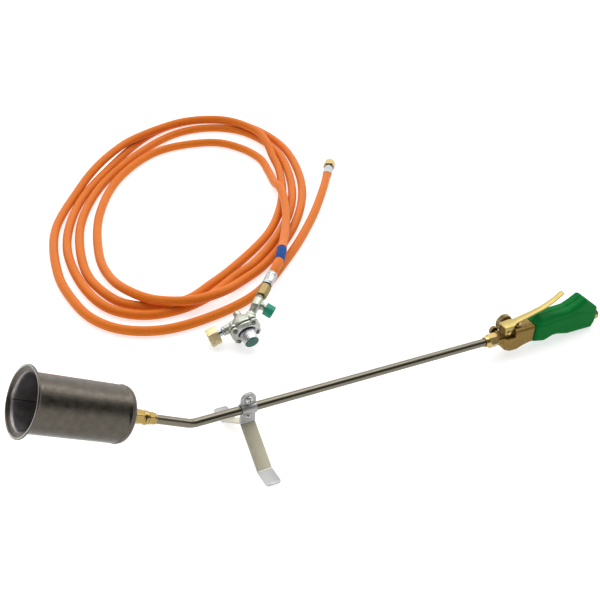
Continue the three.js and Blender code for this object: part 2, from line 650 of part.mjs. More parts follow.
// ---------------------------------------------------------------- hose
outlet.updateMatrixWorld(true);
const onOutlet = (u) => outlet.localToWorld(new THREE.Vector3(u, 0, 0)).toArray();
const LYING = HOSE_R + 0.5;      // height of the hose's centre on the ground
const OVER = 3 * HOSE_R + 0.6;    // and where it lies on another turn
const HOSE_ROUTE = [
  [48, 267.5, 44.2], [77, 314, 33], [115, 377, 23.5], [143, 430, OVER], [162, 478, OVER], [168.5, 503, 19.8],
  [174, 528, 12.5],
  // first turn
  [187, 575, LYING], [196, 628, LYING], [184, 682, LYING], [152, 724, LYING], [60, 739, LYING],
  [-35, 680, LYING], [-110, 572, LYING], [-151, 452, LYING], [-157, 395, 10], [-152, 340, 18],
  [-128, 294, OVER], [-86, 269, OVER], [-40, 272, 17],
  // second turn
  [6, 296, 9], [55, 323, LYING], [142, 400, LYING], [210, 501, LYING], [248, 618, LYING],
  [251, 690, LYING], [237, 750, LYING], [205, 800, LYING], [160, 824, LYING], [108, 824, LYING],
  [55, 801, LYING], [-49, 710, LYING], [-131, 615, LYING], [-186, 495, LYING], [-195, 370, LYING],
  [-179, 315, LYING], [-146, 284, LYING], [-100, 274, LYING], [-52, 284, LYING],
  // third turn
  [-2, 311, LYING], [41, 332, LYING], [125, 404, LYING], [185, 488, LYING], [225, 590, LYING],
  [234, 645, LYING], [230, 700, LYING], [214, 745, LYING], [180, 778, LYING], [134, 791, LYING],
  [86, 782, LYING], [-10, 723, LYING], [-90, 645, LYING], [-150, 545, LYING], [-181, 425, LYING],
  [-178, 370, LYING], [-162, 325, LYING], [-128, 298, LYING], [-82, 291, LYING], [-38, 310, LYING],
  // last turn, out to the free end
  [7, 334, LYING], [99, 400, LYING], [164, 484, LYING], [206, 575, LYING], [217, 620, 10],
  [226, 665, 18.5], [228, 705, OVER], [203, 768, OVER], [164, 795, OVER], [118, 803, OVER],
  [22, 776, OVER], [-26, 744, OVER], [-74, 703, 17], [-118, 656, 10], [-186, 555, LYING],
  [-218, 435, LYING], [-220, 370, LYING], [-211, 312, LYING], [-188, 272, LYING], [-150, 246, LYING],
  [-100, 237, LYING], [0, 256, LYING], [90, 322, LYING], [172, 402, LYING], [235, 477, 7.6],
];
const hoseEnd = freeEnd.localToWorld(new THREE.Vector3(0, 0, 0)).toArray();
const route = [onOutlet(94.8), onOutlet(108), ...HOSE_ROUTE, hoseEnd].map((p) => new THREE.Vector3(...p));
const hoseCurve = new THREE.CatmullRomCurve3(route, false, 'centripetal');
hoseCurve.arcLengthDivisions = 1600;
const total = hoseCurve.getLength();
const hoseSection = polygon(HOSE_SIDES, HOSE_R);
const stretch = (from, to) => new Stretch(hoseCurve, from / total, to / total);
add(kit, 'hose_start', pipe(stretch(0, TAPE[0]), 2, hoseSection), orangeRubber());
add(kit, 'hose_tape', pipe(stretch(TAPE[0] + GAP, TAPE[1] - GAP), 2, polygon(12, 7.2)), blueTape());
add(kit, 'hose', pipe(stretch(TAPE[1], total), 76, hoseSection), orangeRubber());

export default kit;
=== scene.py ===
import json
from math import atan2, ceil, cos, degrees, pi, radians, sin, tan

import bmesh
import bpy
from mathutils import Matrix, Vector


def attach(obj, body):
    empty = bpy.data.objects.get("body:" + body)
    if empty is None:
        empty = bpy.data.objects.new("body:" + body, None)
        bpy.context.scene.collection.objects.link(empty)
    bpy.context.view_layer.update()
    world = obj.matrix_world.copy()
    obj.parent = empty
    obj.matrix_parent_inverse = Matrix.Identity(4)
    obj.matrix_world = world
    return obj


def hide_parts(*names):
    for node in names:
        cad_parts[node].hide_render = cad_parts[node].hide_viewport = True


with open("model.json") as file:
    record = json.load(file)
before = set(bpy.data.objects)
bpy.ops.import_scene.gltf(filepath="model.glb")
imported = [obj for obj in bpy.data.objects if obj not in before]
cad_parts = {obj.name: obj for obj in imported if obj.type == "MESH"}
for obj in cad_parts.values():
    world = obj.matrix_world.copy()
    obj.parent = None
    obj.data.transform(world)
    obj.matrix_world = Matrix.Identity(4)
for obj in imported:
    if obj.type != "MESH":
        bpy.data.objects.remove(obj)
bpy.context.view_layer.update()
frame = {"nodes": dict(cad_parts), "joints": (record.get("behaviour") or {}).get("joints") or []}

# A propane roofing torch with its hose and regulator. Pieces are drawn in millimetres, each in the
# frame of the part it belongs to, and placed in the row frame in metres.
MM = 0.001
joints = {joint["name"]: joint for joint in frame["joints"]}


# ---------------------------------------------------------------- frames
def axes(origin, x, z):
    """A millimetre frame whose X and Z run along two directions of the row frame."""
    x, z = Vector(x), Vector(z)
    turned_to = Matrix((x, z.cross(x), z)).transposed().to_4x4()
    return Matrix.Translation(origin) @ turned_to @ Matrix.Scale(MM, 4)


def turn(axis, angle):
    return Matrix.Rotation(radians(angle), 4, axis)


def move(x=0.0, y=0.0, z=0.0):
    return Matrix.Translation((x, y, z))


FROM_SIDE = turn("X", 90)                                            # Y to Z and Z to -Y
ALONG_X = Matrix(((0, 0, 1, 0), (1, 0, 0, 0), (0, 1, 0, 0), (0, 0, 0, 1)))
ALONG_Y = Matrix(((0, 1, 0, 0), (0, 0, 1, 0), (1, 0, 0, 0), (0, 0, 0, 1)))

# Along and above the lance, in millimetres from where the stand clamps it. A name that ends in _S is
# a distance along the lance.
PIN = (356, 10.5)
PLUNGER_S = 374
FLOW = (368, 8)
PILOT = (347, 5)
BEND_S = -70
NECK_TILT = 26
INLET_DROP = 3

lance_z = -Vector(joints["plunger_travel"]["axis"])
lance_x = Vector((0, 1, 0)).cross(lance_z)
pin_at = Vector(joints["lever_press"]["pos_m"])
LANCE = axes(pin_at - (lance_x * PIN[0] + lance_z * PIN[1]) * MM, lance_x, lance_z)
NECK = LANCE @ move(BEND_S) @ turn("Y", NECK_TILT - 90)

knob_axis = Vector(joints["adjusting_knob_turn"]["axis"])
knob_at = Vector(joints["adjusting_knob_turn"]["pos_m"])
REGULATOR = axes(knob_at - knob_axis * 14 * MM, joints["bottle_nut_spin"]["axis"], knob_axis)
INLET = REGULATOR @ move(z=-12) @ ALONG_X

OUTLET_AT = (-43.8, 179.5, 27.6)
OUTLET_YAW = 43
OUTLET_RISE = 9
BUTTON_ROLL = 28
OUTLET = (Matrix.Translation(Vector(OUTLET_AT) * MM) @ turn("Z", OUTLET_YAW) @ turn("Y", -OUTLET_RISE)
          @ Matrix.Scale(MM, 4))
BUTTON = OUTLET @ move(36) @ turn("X", BUTTON_ROLL) @ FROM_SIDE

nut_axis = Vector(joints["hose_nut_spin"]["axis"])
FREE_END = axes(Vector(joints["hose_nut_spin"]["pos_m"]) - nut_axis * 35 * MM, nut_axis, (0, 0, 1))


# ---------------------------------------------------------------- camera
def camera():
    data = bpy.data.cameras.new("camera")
    data.sensor_width = 36
    data.lens = 59.4
    data.clip_start = 0.05
    data.clip_end = 50
    made = bpy.data.objects.new("camera", data)
    bpy.context.scene.collection.objects.link(made)
    eye = (-0.4745, -0.7612, 0.7726)
    elevation, azimuth, roll = 34.53, 28.36, 0.16
    made.matrix_world = move(*eye) @ turn("Z", -azimuth) @ turn("X", 90 - elevation) @ turn("Z", roll)
    bpy.context.scene.camera = made


camera()


# ---------------------------------------------------------------- materials
finish_of = {}


def fill(node, values):
    """Sets inputs of a node by name."""
    for name, value in values.items():
        node.inputs[name].default_value = value


def shader(name, finish, color, rough, metal, place, blotch, wear, grain, gloss=0.5):
    """A surface whose colour, roughness and relief vary with where they are on the part.

    blotch and wear are (share, size in mm) of the changes of colour and roughness, and grain is
    (depth in mm, size in mm) of a relief. A size may be three numbers, along the axes of place.
    finish is the record's material slot.
    """
    made = bpy.data.materials.new(name)
    made.use_nodes = True
    nodes, links = made.node_tree.nodes, made.node_tree.links
    surface = nodes["Principled BSDF"]
    fill(surface, {"Base Color": (*color, 1), "Roughness": rough, "Metallic": metal,
                   "Specular IOR Level": gloss})
    at = nodes.new("ShaderNodeTexCoord")

    def speckle(size, detail=4.0):
        mapping = nodes.new("ShaderNodeMapping")
        mapping.vector_type = "TEXTURE"
        sizes = size if isinstance(size, tuple) else (size,) * 3
        fill(mapping, {"Scale": [length * MM for length in sizes]})
        if place is not None:
            where, spin, _ = place.decompose()
            fill(mapping, {"Location": where, "Rotation": spin.to_euler()})
        links.new(at.outputs["Object"], mapping.inputs["Vector"])
        texture = nodes.new("ShaderNodeTexNoise")
        fill(texture, {"Scale": 1, "Detail": detail})
        links.new(mapping.outputs["Vector"], texture.inputs["Vector"])
        return texture.outputs["Fac"]

    share, size = blotch
    mix = nodes.new("ShaderNodeMix")
    mix.data_type = "RGBA"
    mix.inputs["A"].default_value = (*[c * (1 - share) for c in color], 1)
    mix.inputs["B"].default_value = (*[min(1, c * (1 + share)) for c in color], 1)
    links.new(speckle(size), mix.inputs["Factor"])
    links.new(mix.outputs["Result"], surface.inputs["Base Color"])
    share, size = wear
    spread = nodes.new("ShaderNodeMapRange")
    fill(spread, {"From Min": 0.3, "From Max": 0.7, "To Min": rough * (1 - share),
                  "To Max": rough * (1 + share)})
    links.new(speckle(size), spread.inputs["Value"])
    links.new(spread.outputs["Result"], surface.inputs["Roughness"])
    depth, size = grain
    bump = nodes.new("ShaderNodeBump")
    fill(bump, {"Distance": depth * MM})
    links.new(speckle(size, 2.0), bump.inputs["Height"])
    links.new(bump.outputs["Normal"], surface.inputs["Normal"])
    finish_of[made] = finish
    return made


burner_steel = shader("burner_steel", "burner_steel", (0.102, 0.09, 0.075), 0.31, 1, NECK, (0.34, 7),
                      (0.2, 6), (0.03, (1.4, 1.4, 24)))
# A lighter, smoother copy of the burner steel for the crest of the rolled lip: a painted highlight.
lip_painted_highlight = shader("lip_painted_highlight", "burner_steel", (0.42, 0.41, 0.385), 0.28, 1, NECK, (0.2, 6), (0.2, 3),
                    (0.006, 1.2))
# A lighter, rougher copy of the burner steel for the inside of the bell and the plates in it: painted light
# where the inside lies in shade.
bell_inside_painted_light = shader("bell_inside_painted_light", "burner_steel", (0.33, 0.31, 0.312), 0.5, 1, NECK, (0.4, 14), (0.2, 8),
                     (0.04, (1.4, 1.4, 20)))
seam_soot = shader("seam_soot", "burner_steel", (0.02, 0.017, 0.02), 0.7, 0.4, NECK, (0.3, 4), (0.1, 3),
                   (0.03, 1), 0.2)
nickel = shader("nickel", "nickel_tube", (0.18, 0.163, 0.125), 0.2, 1, LANCE, (0.1, 30), (0.25, 6),
                (0.01, (30, 0.6, 0.6)))
zinc = shader("zinc", "zinc_plate", (0.37, 0.372, 0.365), 0.4, 0.8, LANCE, (0.12, 12), (0.22, 5),
              (0.012, (0.7, 10, 10)))
# A lighter, yellower copy of the zinc for the slanted faces of the legs: painted light and painted
# reflection.
leg_painted_light = shader("leg_painted_light", "zinc_plate", (0.57, 0.535, 0.40), 0.45, 0.7, LANCE, (0.1, 14), (0.2, 5),
                  (0.012, (0.7, 10, 10)))
# A bright, yellow copy of the zinc for the bend above each foot: a painted highlight.
bend_painted_highlight = shader("bend_painted_highlight", "zinc_plate", (0.85, 0.8, 0.62), 0.3, 1, LANCE, (0.1, 5), (0.2, 3),
                   (0.006, 2))
screw_zinc = shader("screw_zinc", "zinc_plate", (0.5, 0.49, 0.47), 0.28, 1, None, (0.1, 4), (0.25, 3),
                    (0.006, 1))
brass = shader("brass", "brass", (0.53, 0.39, 0.145), 0.27, 1, None, (0.1, 12), (0.25, 4), (0.006, 1.5))
pale_brass = shader("pale_brass", "brass", (0.58, 0.49, 0.28), 0.44, 1, None, (0.12, 9), (0.25, 4),
                    (0.012, 1.5))
neck_brass = shader("neck_brass", "brass", (0.38, 0.265, 0.09), 0.2, 1, NECK, (0.1, 12), (0.25, 4),
                    (0.006, 1.5))
lever_brass = shader("lever_brass", "brass", (0.4, 0.315, 0.11), 0.35, 1, LANCE, (0.1, 14), (0.22, 5),
                     (0.01, (9, 0.5, 0.5)))
cast_brass = shader("cast_brass", "cast_brass", (0.25, 0.158, 0.04), 0.5, 0.85, None, (0.25, 6), (0.2, 3),
                    (0.07, 1.1))
knob_brass = shader("knob_brass", "brass", (0.2, 0.145, 0.06), 0.36, 1, None, (0.16, 6), (0.2, 3),
                    (0.01, 0.8))
nut_brass = shader("nut_brass", "brass", (0.27, 0.2, 0.085), 0.36, 1, None, (0.14, 8), (0.2, 3),
                   (0.01, 0.8))
green = shader("green_plastic", "green_plastic", (0.0015, 0.165, 0.028), 0.55, 0, None, (0.1, 30),
               (0.12, 10), (0.035, 0.7), 0.06)
cap_green = shader("cap_plastic", "cap_plastic", (0.02, 0.29, 0.18), 0.4, 0, None, (0.08, 8), (0.12, 4),
                   (0.02, 0.8), 0.3)
teal = shader("teal_plastic", "teal_plastic", (0.035, 0.12, 0.09), 0.5, 0, None, (0.1, 6), (0.1, 3),
              (0.02, 0.7), 0.3)
die_cast = shader("die_cast", "regulator_zinc", (0.44, 0.46, 0.39), 0.38, 0.9, None, (0.1, 7), (0.2, 3),
                  (0.03, 0.9))
knob_zinc = shader("knob_zinc", "regulator_zinc", (0.52, 0.515, 0.55), 0.3, 1, REGULATOR, (0.06, 8),
                   (0.2, 4), (0.008, (4, 4, 0.3)))
plated = shader("plated", "regulator_zinc", (0.42, 0.43, 0.435), 0.24, 1, None, (0.1, 6), (0.3, 3),
                (0.006, 1.2))
dark_steel = shader("dark_steel", "spring_steel", (0.2, 0.2, 0.19), 0.4, 1, None, (0.1, 4), (0.2, 2),
                    (0.02, 0.6))
spring_wire = shader("spring_wire", "spring_steel", (0.5, 0.5, 0.5), 0.3, 1, None, (0.08, 4), (0.2, 2),
                     (0.01, 0.5))
black_rubber = shader("black_rubber", "black_rubber", (0.028, 0.016, 0.013), 0.6, 0, None, (0.2, 5),
                      (0.1, 2), (0.03, 0.6))
hose_rubber = shader("hose_rubber", "orange_rubber", (0.69, 0.168, 0.012), 0.45, 0, None, (0.08, 45),
                     (0.14, 7), (0.05, 1.6), 0.15)
tape_film = shader("tape_film", "blue_tape", (0.0005, 0.055, 0.24), 0.5, 0, OUTLET, (0.65, 6), (0.2, 3),
                   (0.05, 3), 0.03)


# ---------------------------------------------------------------- outlines
def rounded(points, radius, closed=False, parts=4):
    """A line of 2-D points with its corners rounded. A third number on a point is its own radius."""
    out = []
    for i, point in enumerate(points):
        here = Vector(point[:2])
        r = point[2] if len(point) > 2 else radius
        if r == 0 or (not closed and i in (0, len(points) - 1)):
            out.append(tuple(here))
            continue
        back = Vector(points[i - 1][:2]) - here
        ahead = Vector(points[(i + 1) % len(points)][:2]) - here
        half = back.angle(ahead) / 2
        reach = min(r * cos(half) / max(sin(half), 1e-4), 0.45 * back.length, 0.45 * ahead.length)
        if reach < 0.01:
            out.append(tuple(here))
            continue
        first, last = here + back.normalized() * reach, here + ahead.normalized() * reach
        for k in range(parts + 1):
            t = k / parts
            out.append(tuple(first * (1 - t) ** 2 + here * 2 * t * (1 - t) + last * t ** 2))
    return out


def solid_profile(points, radius=0.3, parts=3):
    """A turned profile from axis to axis with its edges rounded."""
    return rounded(points, radius, parts=parts)


def ring_profile(points, radius=0.3, parts=3):
    """A turned profile that closes on itself, with its edges rounded."""
    line = rounded(points, radius, closed=True, parts=parts)
    return line + [line[0]]


def inset(corners, distance):
    """The corners of a closed outline, its sides moved inwards."""
    count = len(corners)
    area = sum(corners[i - 1][0] * corners[i][1] - corners[i][0] * corners[i - 1][1] for i in range(count))
    side = 1 if area > 0 else -1
    out = []
    for i in range(count):
        before, here, after = (Vector(corners[(i + k) % count][:2]) for k in (-1, 0, 1))
        a, b = (here - before).normalized(), (after - here).normalized()
        normal_a, normal_b = Vector((-a.y, a.x)) * side, Vector((-b.y, b.x)) * side
        bisector = (normal_a + normal_b).normalized()
        out.append(tuple(here + bisector * distance / max(0.3, bisector.dot(normal_a))))
    return out


# ---------------------------------------------------------------- shells: (points, faces) in millimetres
def turned(profile, steps=64, shape=None, start=0.0):
    """A profile of (radius, height) turned about Z. shape(angle, radius, height) may change a radius."""
    angles = [radians(start) + 2 * pi * k / steps for k in range(steps)]
    count = len(angles)
    closed = profile[0] == profile[-1]
    points, rings, faces = [], [], []
    for radius, height in profile[:-1] if closed else profile:
        around = [0] if radius < 1e-6 else angles
        rings.append(range(len(points), len(points) + len(around)))
        for angle in around:
            r = shape(angle, radius, height) if shape and radius > 1e-6 else radius
            points.append((r * cos(angle), r * sin(angle), height))
    following = rings[1:] + ([rings[0]] if closed else [])
    for low, high in zip(rings, following):
        for k in range(count):
            n = (k + 1) % count
            if len(low) == 1 and len(high) > 1:
                faces.append((low[0], high[n], high[k]))
            elif len(high) == 1 and len(low) > 1:
                faces.append((low[k], low[n], high[0]))
            elif len(low) > 1:
                faces.append((low[k], low[n], high[n], high[k]))
    return points, faces


def lathe(points, edge, steps=48):
    """A solid turned from a profile whose edges are rounded."""
    return turned(solid_profile(points, edge), steps)


def rod(radius, low, high, edge=0.3, steps=48):
    return lathe([(0, low), (radius, low), (radius, high), (0, high)], edge, steps)


def facets(sides, across, spin=0.0, low=-1e3, high=1e3):
    """A shape for turned() that keeps to a regular outline between two heights."""
    half = pi / sides

    def limit(angle, radius, height):
        flat = across / 2 / cos((angle - radians(spin)) % (2 * half) - half)
        return min(radius, flat) if low <= height <= high else radius
    return limit


def hex_nut(profile, across, spin=0.0):
    return turned(profile, 72, facets(6, across, spin), spin)


def fluted(teeth, depth, low, high):
    """A shape for turned() with straight grooves between two heights."""
    def groove(angle, radius, height):
        return radius - (depth * (0.5 + 0.5 * cos(teeth * angle)) if low <= height <= high else 0)
    return groove


def threaded(pitch, depth, low, high):
    """A shape for turned() with a thread between two heights."""
    def groove(angle, radius, height):
        share = (height / pitch - angle / (2 * pi)) % 1
        return radius - (depth * (1 - abs(2 * share - 1)) if low <= height <= high else 0)
    return groove


def fine(radius, low, high, step):
    """Points of a profile close enough together to carry a thread."""
    count = ceil(abs(high - low) / step)
    return [(radius, low + (high - low) * k / count) for k in range(count + 1)]


def prism(outline, low, high):
    """A closed outline of (x, y) points raised from low to high along Z."""
    count = len(outline)
    points = [(x, y, low) for x, y in outline] + [(x, y, high) for x, y in outline]
    faces = [tuple(range(count)), tuple(range(count, 2 * count))]
    faces += [(k, (k + 1) % count, (k + 1) % count + count, k + count) for k in range(count)]
    return points, faces


def layered(levels):
    """Outlines with equal counts of points, one at each height, skinned and closed."""
    count = len(levels[0][1])
    points = [(x, y, height) for height, outline in levels for x, y in outline]
    faces = [tuple(range(count)), tuple(range(len(points) - count, len(points)))]
    for level in range(len(levels) - 1):
        a, b = level * count, (level + 1) * count
        faces += [(a + k, a + (k + 1) % count, b + (k + 1) % count, b + k) for k in range(count)]
    return points, faces


def pipe(line, radius, sides=40):
    """A closed round bar along a line of 3-D points; radius may be a function of (point number, angle)."""
    line = [Vector(p) for p in line]
    points, faces = [], []
    tangent = (line[1] - line[0]).normalized()
    across = tangent.orthogonal().normalized()
    for i, here in enumerate(line):
        ahead = line[min(i + 1, len(line) - 1)] - line[max(i - 1, 0)]
        bend = tangent.rotation_difference(ahead.normalized())
        tangent = ahead.normalized()
        across.rotate(bend)
        other = tangent.cross(across)
        for k in range(sides):
            angle = 2 * pi * k / sides
            r = radius(i, angle) if callable(radius) else radius
            points.append(tuple(here + (across * cos(angle) + other * sin(angle)) * r))
    for i in range(len(line) - 1):
        a, b = i * sides, (i + 1) * sides
        faces += [(a + k, a + (k + 1) % sides, b + (k + 1) % sides, b + k) for k in range(sides)]
    faces += [tuple(range(sides)), tuple(range(len(points) - sides, len(points)))]
    return points, faces


def strip(path, widths, thickness):
    """A sheet strip that follows (y, z) points, as wide along X as (distance, half width) pairs say."""
    at = [Vector(p) for p in path]
    reach = [0.0]
    for a, b in zip(at, at[1:]):
        reach.append(reach[-1] + (b - a).length)
    stops = sorted({round(u, 3) for u in reach + [w[0] for w in widths] if u <= reach[-1] + 1e-3})
    points = []
    for u in stops:
        leg = max(i for i in range(len(at) - 1) if reach[i] <= u + 1e-3)
        here = at[leg].lerp(at[leg + 1], (u - reach[leg]) / (reach[leg + 1] - reach[leg]))
        ahead = at[leg + 1] - at[leg]
        before = at[leg] - at[leg - 1] if leg and abs(u - reach[leg]) < 1e-3 else ahead
        along = (before.normalized() + ahead.normalized()).normalized()
        off = Vector((-along.y, along.x)) * thickness / 2
        low, high = [w for w in widths if w[0] <= u + 1e-3][-1], [w for w in widths if w[0] >= u - 1e-3][0]
        share = (u - low[0]) / max(high[0] - low[0], 1e-6)
        half = low[1] + (high[1] - low[1]) * min(1, max(0, share))
        for x, p in ((half, here + off), (-half, here + off), (-half, here - off), (half, here - off)):
            points.append((x, p.x, p.y))
    faces = [(0, 1, 2, 3), tuple(range(len(points) - 4, len(points)))]
    for row in range(len(stops) - 1):
        a, b = row * 4, row * 4 + 4
        faces += [(a + k, a + (k + 1) % 4, b + (k + 1) % 4, b + k) for k in range(4)]
    return points, faces


def moved(shell, matrix):
    points, faces = shell
    return [tuple(matrix @ Vector(p)) for p in points], faces


def joined(*shells):
    points, faces = [], []
    for more, sides in shells:
        faces += [tuple(i + len(points) for i in face) for face in sides]
        points += more
    return points, faces


def temporary(shell):
    mesh = bpy.data.meshes.new("temporary")
    mesh.from_pydata(*[list(part) for part in (shell[0], [], shell[1])])
    body = bmesh.new()
    body.from_mesh(mesh)
    bmesh.ops.recalc_face_normals(body, faces=body.faces)
    body.to_mesh(mesh)
    body.free()
    made = bpy.data.objects.new("temporary", mesh)
    bpy.context.scene.collection.objects.link(made)
    return made


def worked(shell, *steps):
    """The shell after some modifiers, each given as (type, {setting: value})."""
    made = temporary(shell)
    for number, (kind, settings) in enumerate(steps):
        modifier = made.modifiers.new(str(number), kind)
        for key, value in settings.items():
            setattr(modifier, key, value)
    done = made.evaluated_get(bpy.context.evaluated_depsgraph_get()).to_mesh()
    result = [tuple(v.co) for v in done.vertices], [tuple(p.vertices) for p in done.polygons]
    bpy.data.objects.remove(made)
    return result


def cut(shell, *tools):
    """The shell less each tool."""
    cutters = [temporary(tool) for tool in tools]
    result = worked(shell, *[("BOOLEAN", {"object": c, "operation": "DIFFERENCE", "solver": "EXACT"})
                             for c in cutters])
    for cutter in cutters:
        bpy.data.objects.remove(cutter)
    return result


def softened(shell, width, segments=2, angle=28):
    """The shell with its sharp edges rounded off."""
    return worked(shell, ("BEVEL", {"width": width, "segments": segments, "angle_limit": radians(angle)}))


def cast(shell, voxel=0.35, smoothing=6):
    """The shell as one cast body: overlapping parts melt together, and edges and corners round off."""
    return worked(shell, ("REMESH", {"mode": "VOXEL", "voxel_size": voxel}),
                  ("SMOOTH", {"factor": 0.5, "iterations": smoothing}))


def piece(name, shell, place, look, body="root", stands_for=None, finish=None, sharp=32):
    """A shell placed in the row frame as a piece that rides on a body and stands for CAD nodes."""
    mesh = bpy.data.meshes.new(name)
    mesh.from_pydata([place @ Vector(p) for p in shell[0]], [], [list(face) for face in shell[1]])
    made_of = bmesh.new()
    made_of.from_mesh(mesh)
    bmesh.ops.recalc_face_normals(made_of, faces=made_of.faces)
    made_of.to_mesh(mesh)
    made_of.free()
    mesh.shade_smooth()
    mesh.set_sharp_from_angle(angle=radians(sharp))
    mesh.materials.append(look)
    made = bpy.data.objects.new(name + "_visual", mesh)
    bpy.context.scene.collection.objects.link(made)
    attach(made, body)
    stands_for = [name] if stands_for is None else stands_for
    if stands_for:
        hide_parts(*stands_for)
    finish = finish or finish_of[look]
    return made


# ---------------------------------------------------------------- hose, tape and free end
HOSE_R = 0.00665
LYING = HOSE_R + 0.0005
OVER = 3 * HOSE_R + 0.0006
FERRULE = (72.3, 94.5)
TAPE = (33, 82)
HOSE_ROUTE = [
    (0.048, 0.2675, 0.0442), (0.077, 0.314, 0.033), (0.115, 0.377, 0.0235), (0.143, 0.43, OVER),
    (0.162, 0.478, OVER), (0.1685, 0.503, 0.0198), (0.174, 0.528, 0.0125),
    # first turn
    (0.187, 0.575, LYING), (0.196, 0.628, LYING), (0.184, 0.682, LYING), (0.152, 0.724, LYING),
    (0.06, 0.739, LYING), (-0.035, 0.68, LYING), (-0.11, 0.572, LYING), (-0.151, 0.452, LYING),
    (-0.157, 0.395, 0.01), (-0.152, 0.34, 0.018), (-0.128, 0.294, OVER), (-0.086, 0.269, OVER),
    (-0.04, 0.272, 0.017),
    # second turn
    (0.006, 0.296, 0.009), (0.055, 0.323, LYING), (0.142, 0.4, LYING), (0.21, 0.501, LYING),
    (0.248, 0.618, LYING), (0.251, 0.69, LYING), (0.237, 0.75, LYING), (0.205, 0.8, LYING),
    (0.16, 0.824, LYING), (0.108, 0.824, LYING), (0.055, 0.801, LYING), (-0.049, 0.71, LYING),
    (-0.131, 0.615, LYING), (-0.186, 0.495, LYING), (-0.195, 0.37, LYING), (-0.179, 0.315, LYING),
    (-0.146, 0.284, LYING), (-0.1, 0.274, LYING), (-0.052, 0.284, LYING),
    # third turn
    (-0.002, 0.311, LYING), (0.041, 0.332, LYING), (0.125, 0.404, LYING), (0.185, 0.488, LYING),
    (0.225, 0.59, LYING), (0.234, 0.645, LYING), (0.23, 0.7, LYING), (0.214, 0.745, LYING),
    (0.18, 0.778, LYING), (0.134, 0.791, LYING), (0.086, 0.782, LYING), (-0.01, 0.723, LYING),
    (-0.09, 0.645, LYING), (-0.15, 0.545, LYING), (-0.181, 0.425, LYING), (-0.178, 0.37, LYING),
    (-0.162, 0.325, LYING), (-0.128, 0.298, LYING), (-0.082, 0.291, LYING), (-0.038, 0.31, LYING),
    # last turn, out to the free end
    (0.007, 0.334, LYING), (0.099, 0.4, LYING), (0.164, 0.484, LYING), (0.206, 0.575, LYING),
    (0.217, 0.62, 0.01), (0.226, 0.665, 0.0185), (0.228, 0.705, OVER), (0.203, 0.768, OVER),
    (0.164, 0.795, OVER), (0.118, 0.803, OVER), (0.022, 0.776, OVER), (-0.026, 0.744, OVER),
    (-0.074, 0.703, 0.017), (-0.118, 0.656, 0.01), (-0.186, 0.555, LYING), (-0.218, 0.435, LYING),
    (-0.22, 0.37, LYING), (-0.211, 0.312, LYING), (-0.188, 0.272, LYING), (-0.15, 0.246, LYING),
    (-0.1, 0.237, LYING), (0, 0.256, LYING), (0.09, 0.322, LYING), (0.172, 0.402, LYING),
    (0.235, 0.477, 0.0076),
]


def through(knots, parts):
    """Points of a centripetal Catmull-Rom curve through the knots."""
    line = [Vector(k) for k in knots]
    line = [line[0] * 2 - line[1], *line, line[-1] * 2 - line[-2]]
    out = []
    for a, b, c, d in zip(line, line[1:], line[2:], line[3:]):
        ab, bc, cd = ((q - p).length ** 0.5 for p, q in ((a, b), (b, c), (c, d)))
        leaving = ((b - a) / ab - (c - a) / (ab + bc) + (c - b) / bc) * bc
        arriving = ((c - b) / bc - (d - b) / (bc + cd) + (d - c) / cd) * bc
        for k in range(parts):
            t = k / parts
            out.append(b + leaving * t + ((c - b) * 3 - leaving * 2 - arriving) * t ** 2
                       + ((b - c) * 2 + leaving + arriving) * t ** 3)
    return out + [line[-2]]


def length_of(line):
    return sum((b - a).length for a, b in zip(line, line[1:]))


def stretch(line, low, high):
    """The points of a line between two distances along it."""
    out, reach = [], 0
    for a, b in zip(line, line[1:]):
        leg = (b - a).length
        for cut_at in (low, high):
            if reach <= cut_at < reach + leg:
                out.append(a.lerp(b, (cut_at - reach) / leg))
        reach += leg
        if low < reach < high:
            out.append(b)
    return out


hose_line = through([OUTLET @ Vector((94.8, 0, 0)), OUTLET @ Vector((108, 0, 0)), *HOSE_ROUTE,
                     FREE_END @ Vector((0, 0, 0))], 10)


def hose():
    data = bpy.data.curves.new("hose", "CURVE")
    data.dimensions = "3D"
    data.bevel_depth = HOSE_R
    data.bevel_resolution = 7
    data.use_fill_caps = True
    spline = data.splines.new("POLY")
    spline.points.add(len(hose_line) - 1)
    for point, at in zip(spline.points, hose_line):
        point.co = (*at, 1)
    spline.use_smooth = True
    data.materials.append(hose_rubber)
    made = bpy.data.objects.new("hose_visual", data)
    bpy.context.scene.collection.objects.link(made)
    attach(made, "root")
    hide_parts("hose", "hose_start")
    return made


def tape():
    """A film wound on in a slight spiral, so that each turn's edge shows."""
    line = [p / MM for p in stretch(hose_line, TAPE[0] * MM, TAPE[1] * MM)]
    count, rings_per_turn, step = 60, 15, 0.16
    total = length_of(line)
    even = [stretch(line, total * k / count, total * 2)[0] for k in range(count)] + [line[-1]]

    def wound(i, angle):
        return 6.82 + step * ((i / rings_per_turn + angle / (2 * pi)) % 1)
    shell = pipe(even, wound, 48)
    return piece("hose_tape", shell, Matrix.Scale(MM, 4), tape_film)


def ferrule(name, place, low, high, mouth):
    """A crimped sleeve whose mouth reaches a little way over the hose."""
    crimp = (low + 5, high - 3.5)
    skirt = high + 1.2 if mouth > 0 else high
    heel = low - 1.2 if mouth < 0 else low
    profile = [(6.7, heel), (7.25, heel), (7.5, heel + 0.5), (7.5, low + 2.2), (7.15, low + 2.9),
               (7.5, low + 3.6), (7.5, crimp[0]), (7.5, crimp[0] + 0.5), (7.5, (crimp[0] + crimp[1]) / 2),
               (7.5, crimp[1] - 0.5), (7.5, crimp[1]), (7.5, skirt - 0.5), (7.25, skirt), (6.7, skirt)]
    shape = facets(8, 14.1, 11, crimp[0] + 0.2, crimp[1] - 0.2)
    return piece(name, turned(profile + profile[:1], 96, shape, 11), place @ ALONG_X, plated,
                 finish="ferrule_steel")


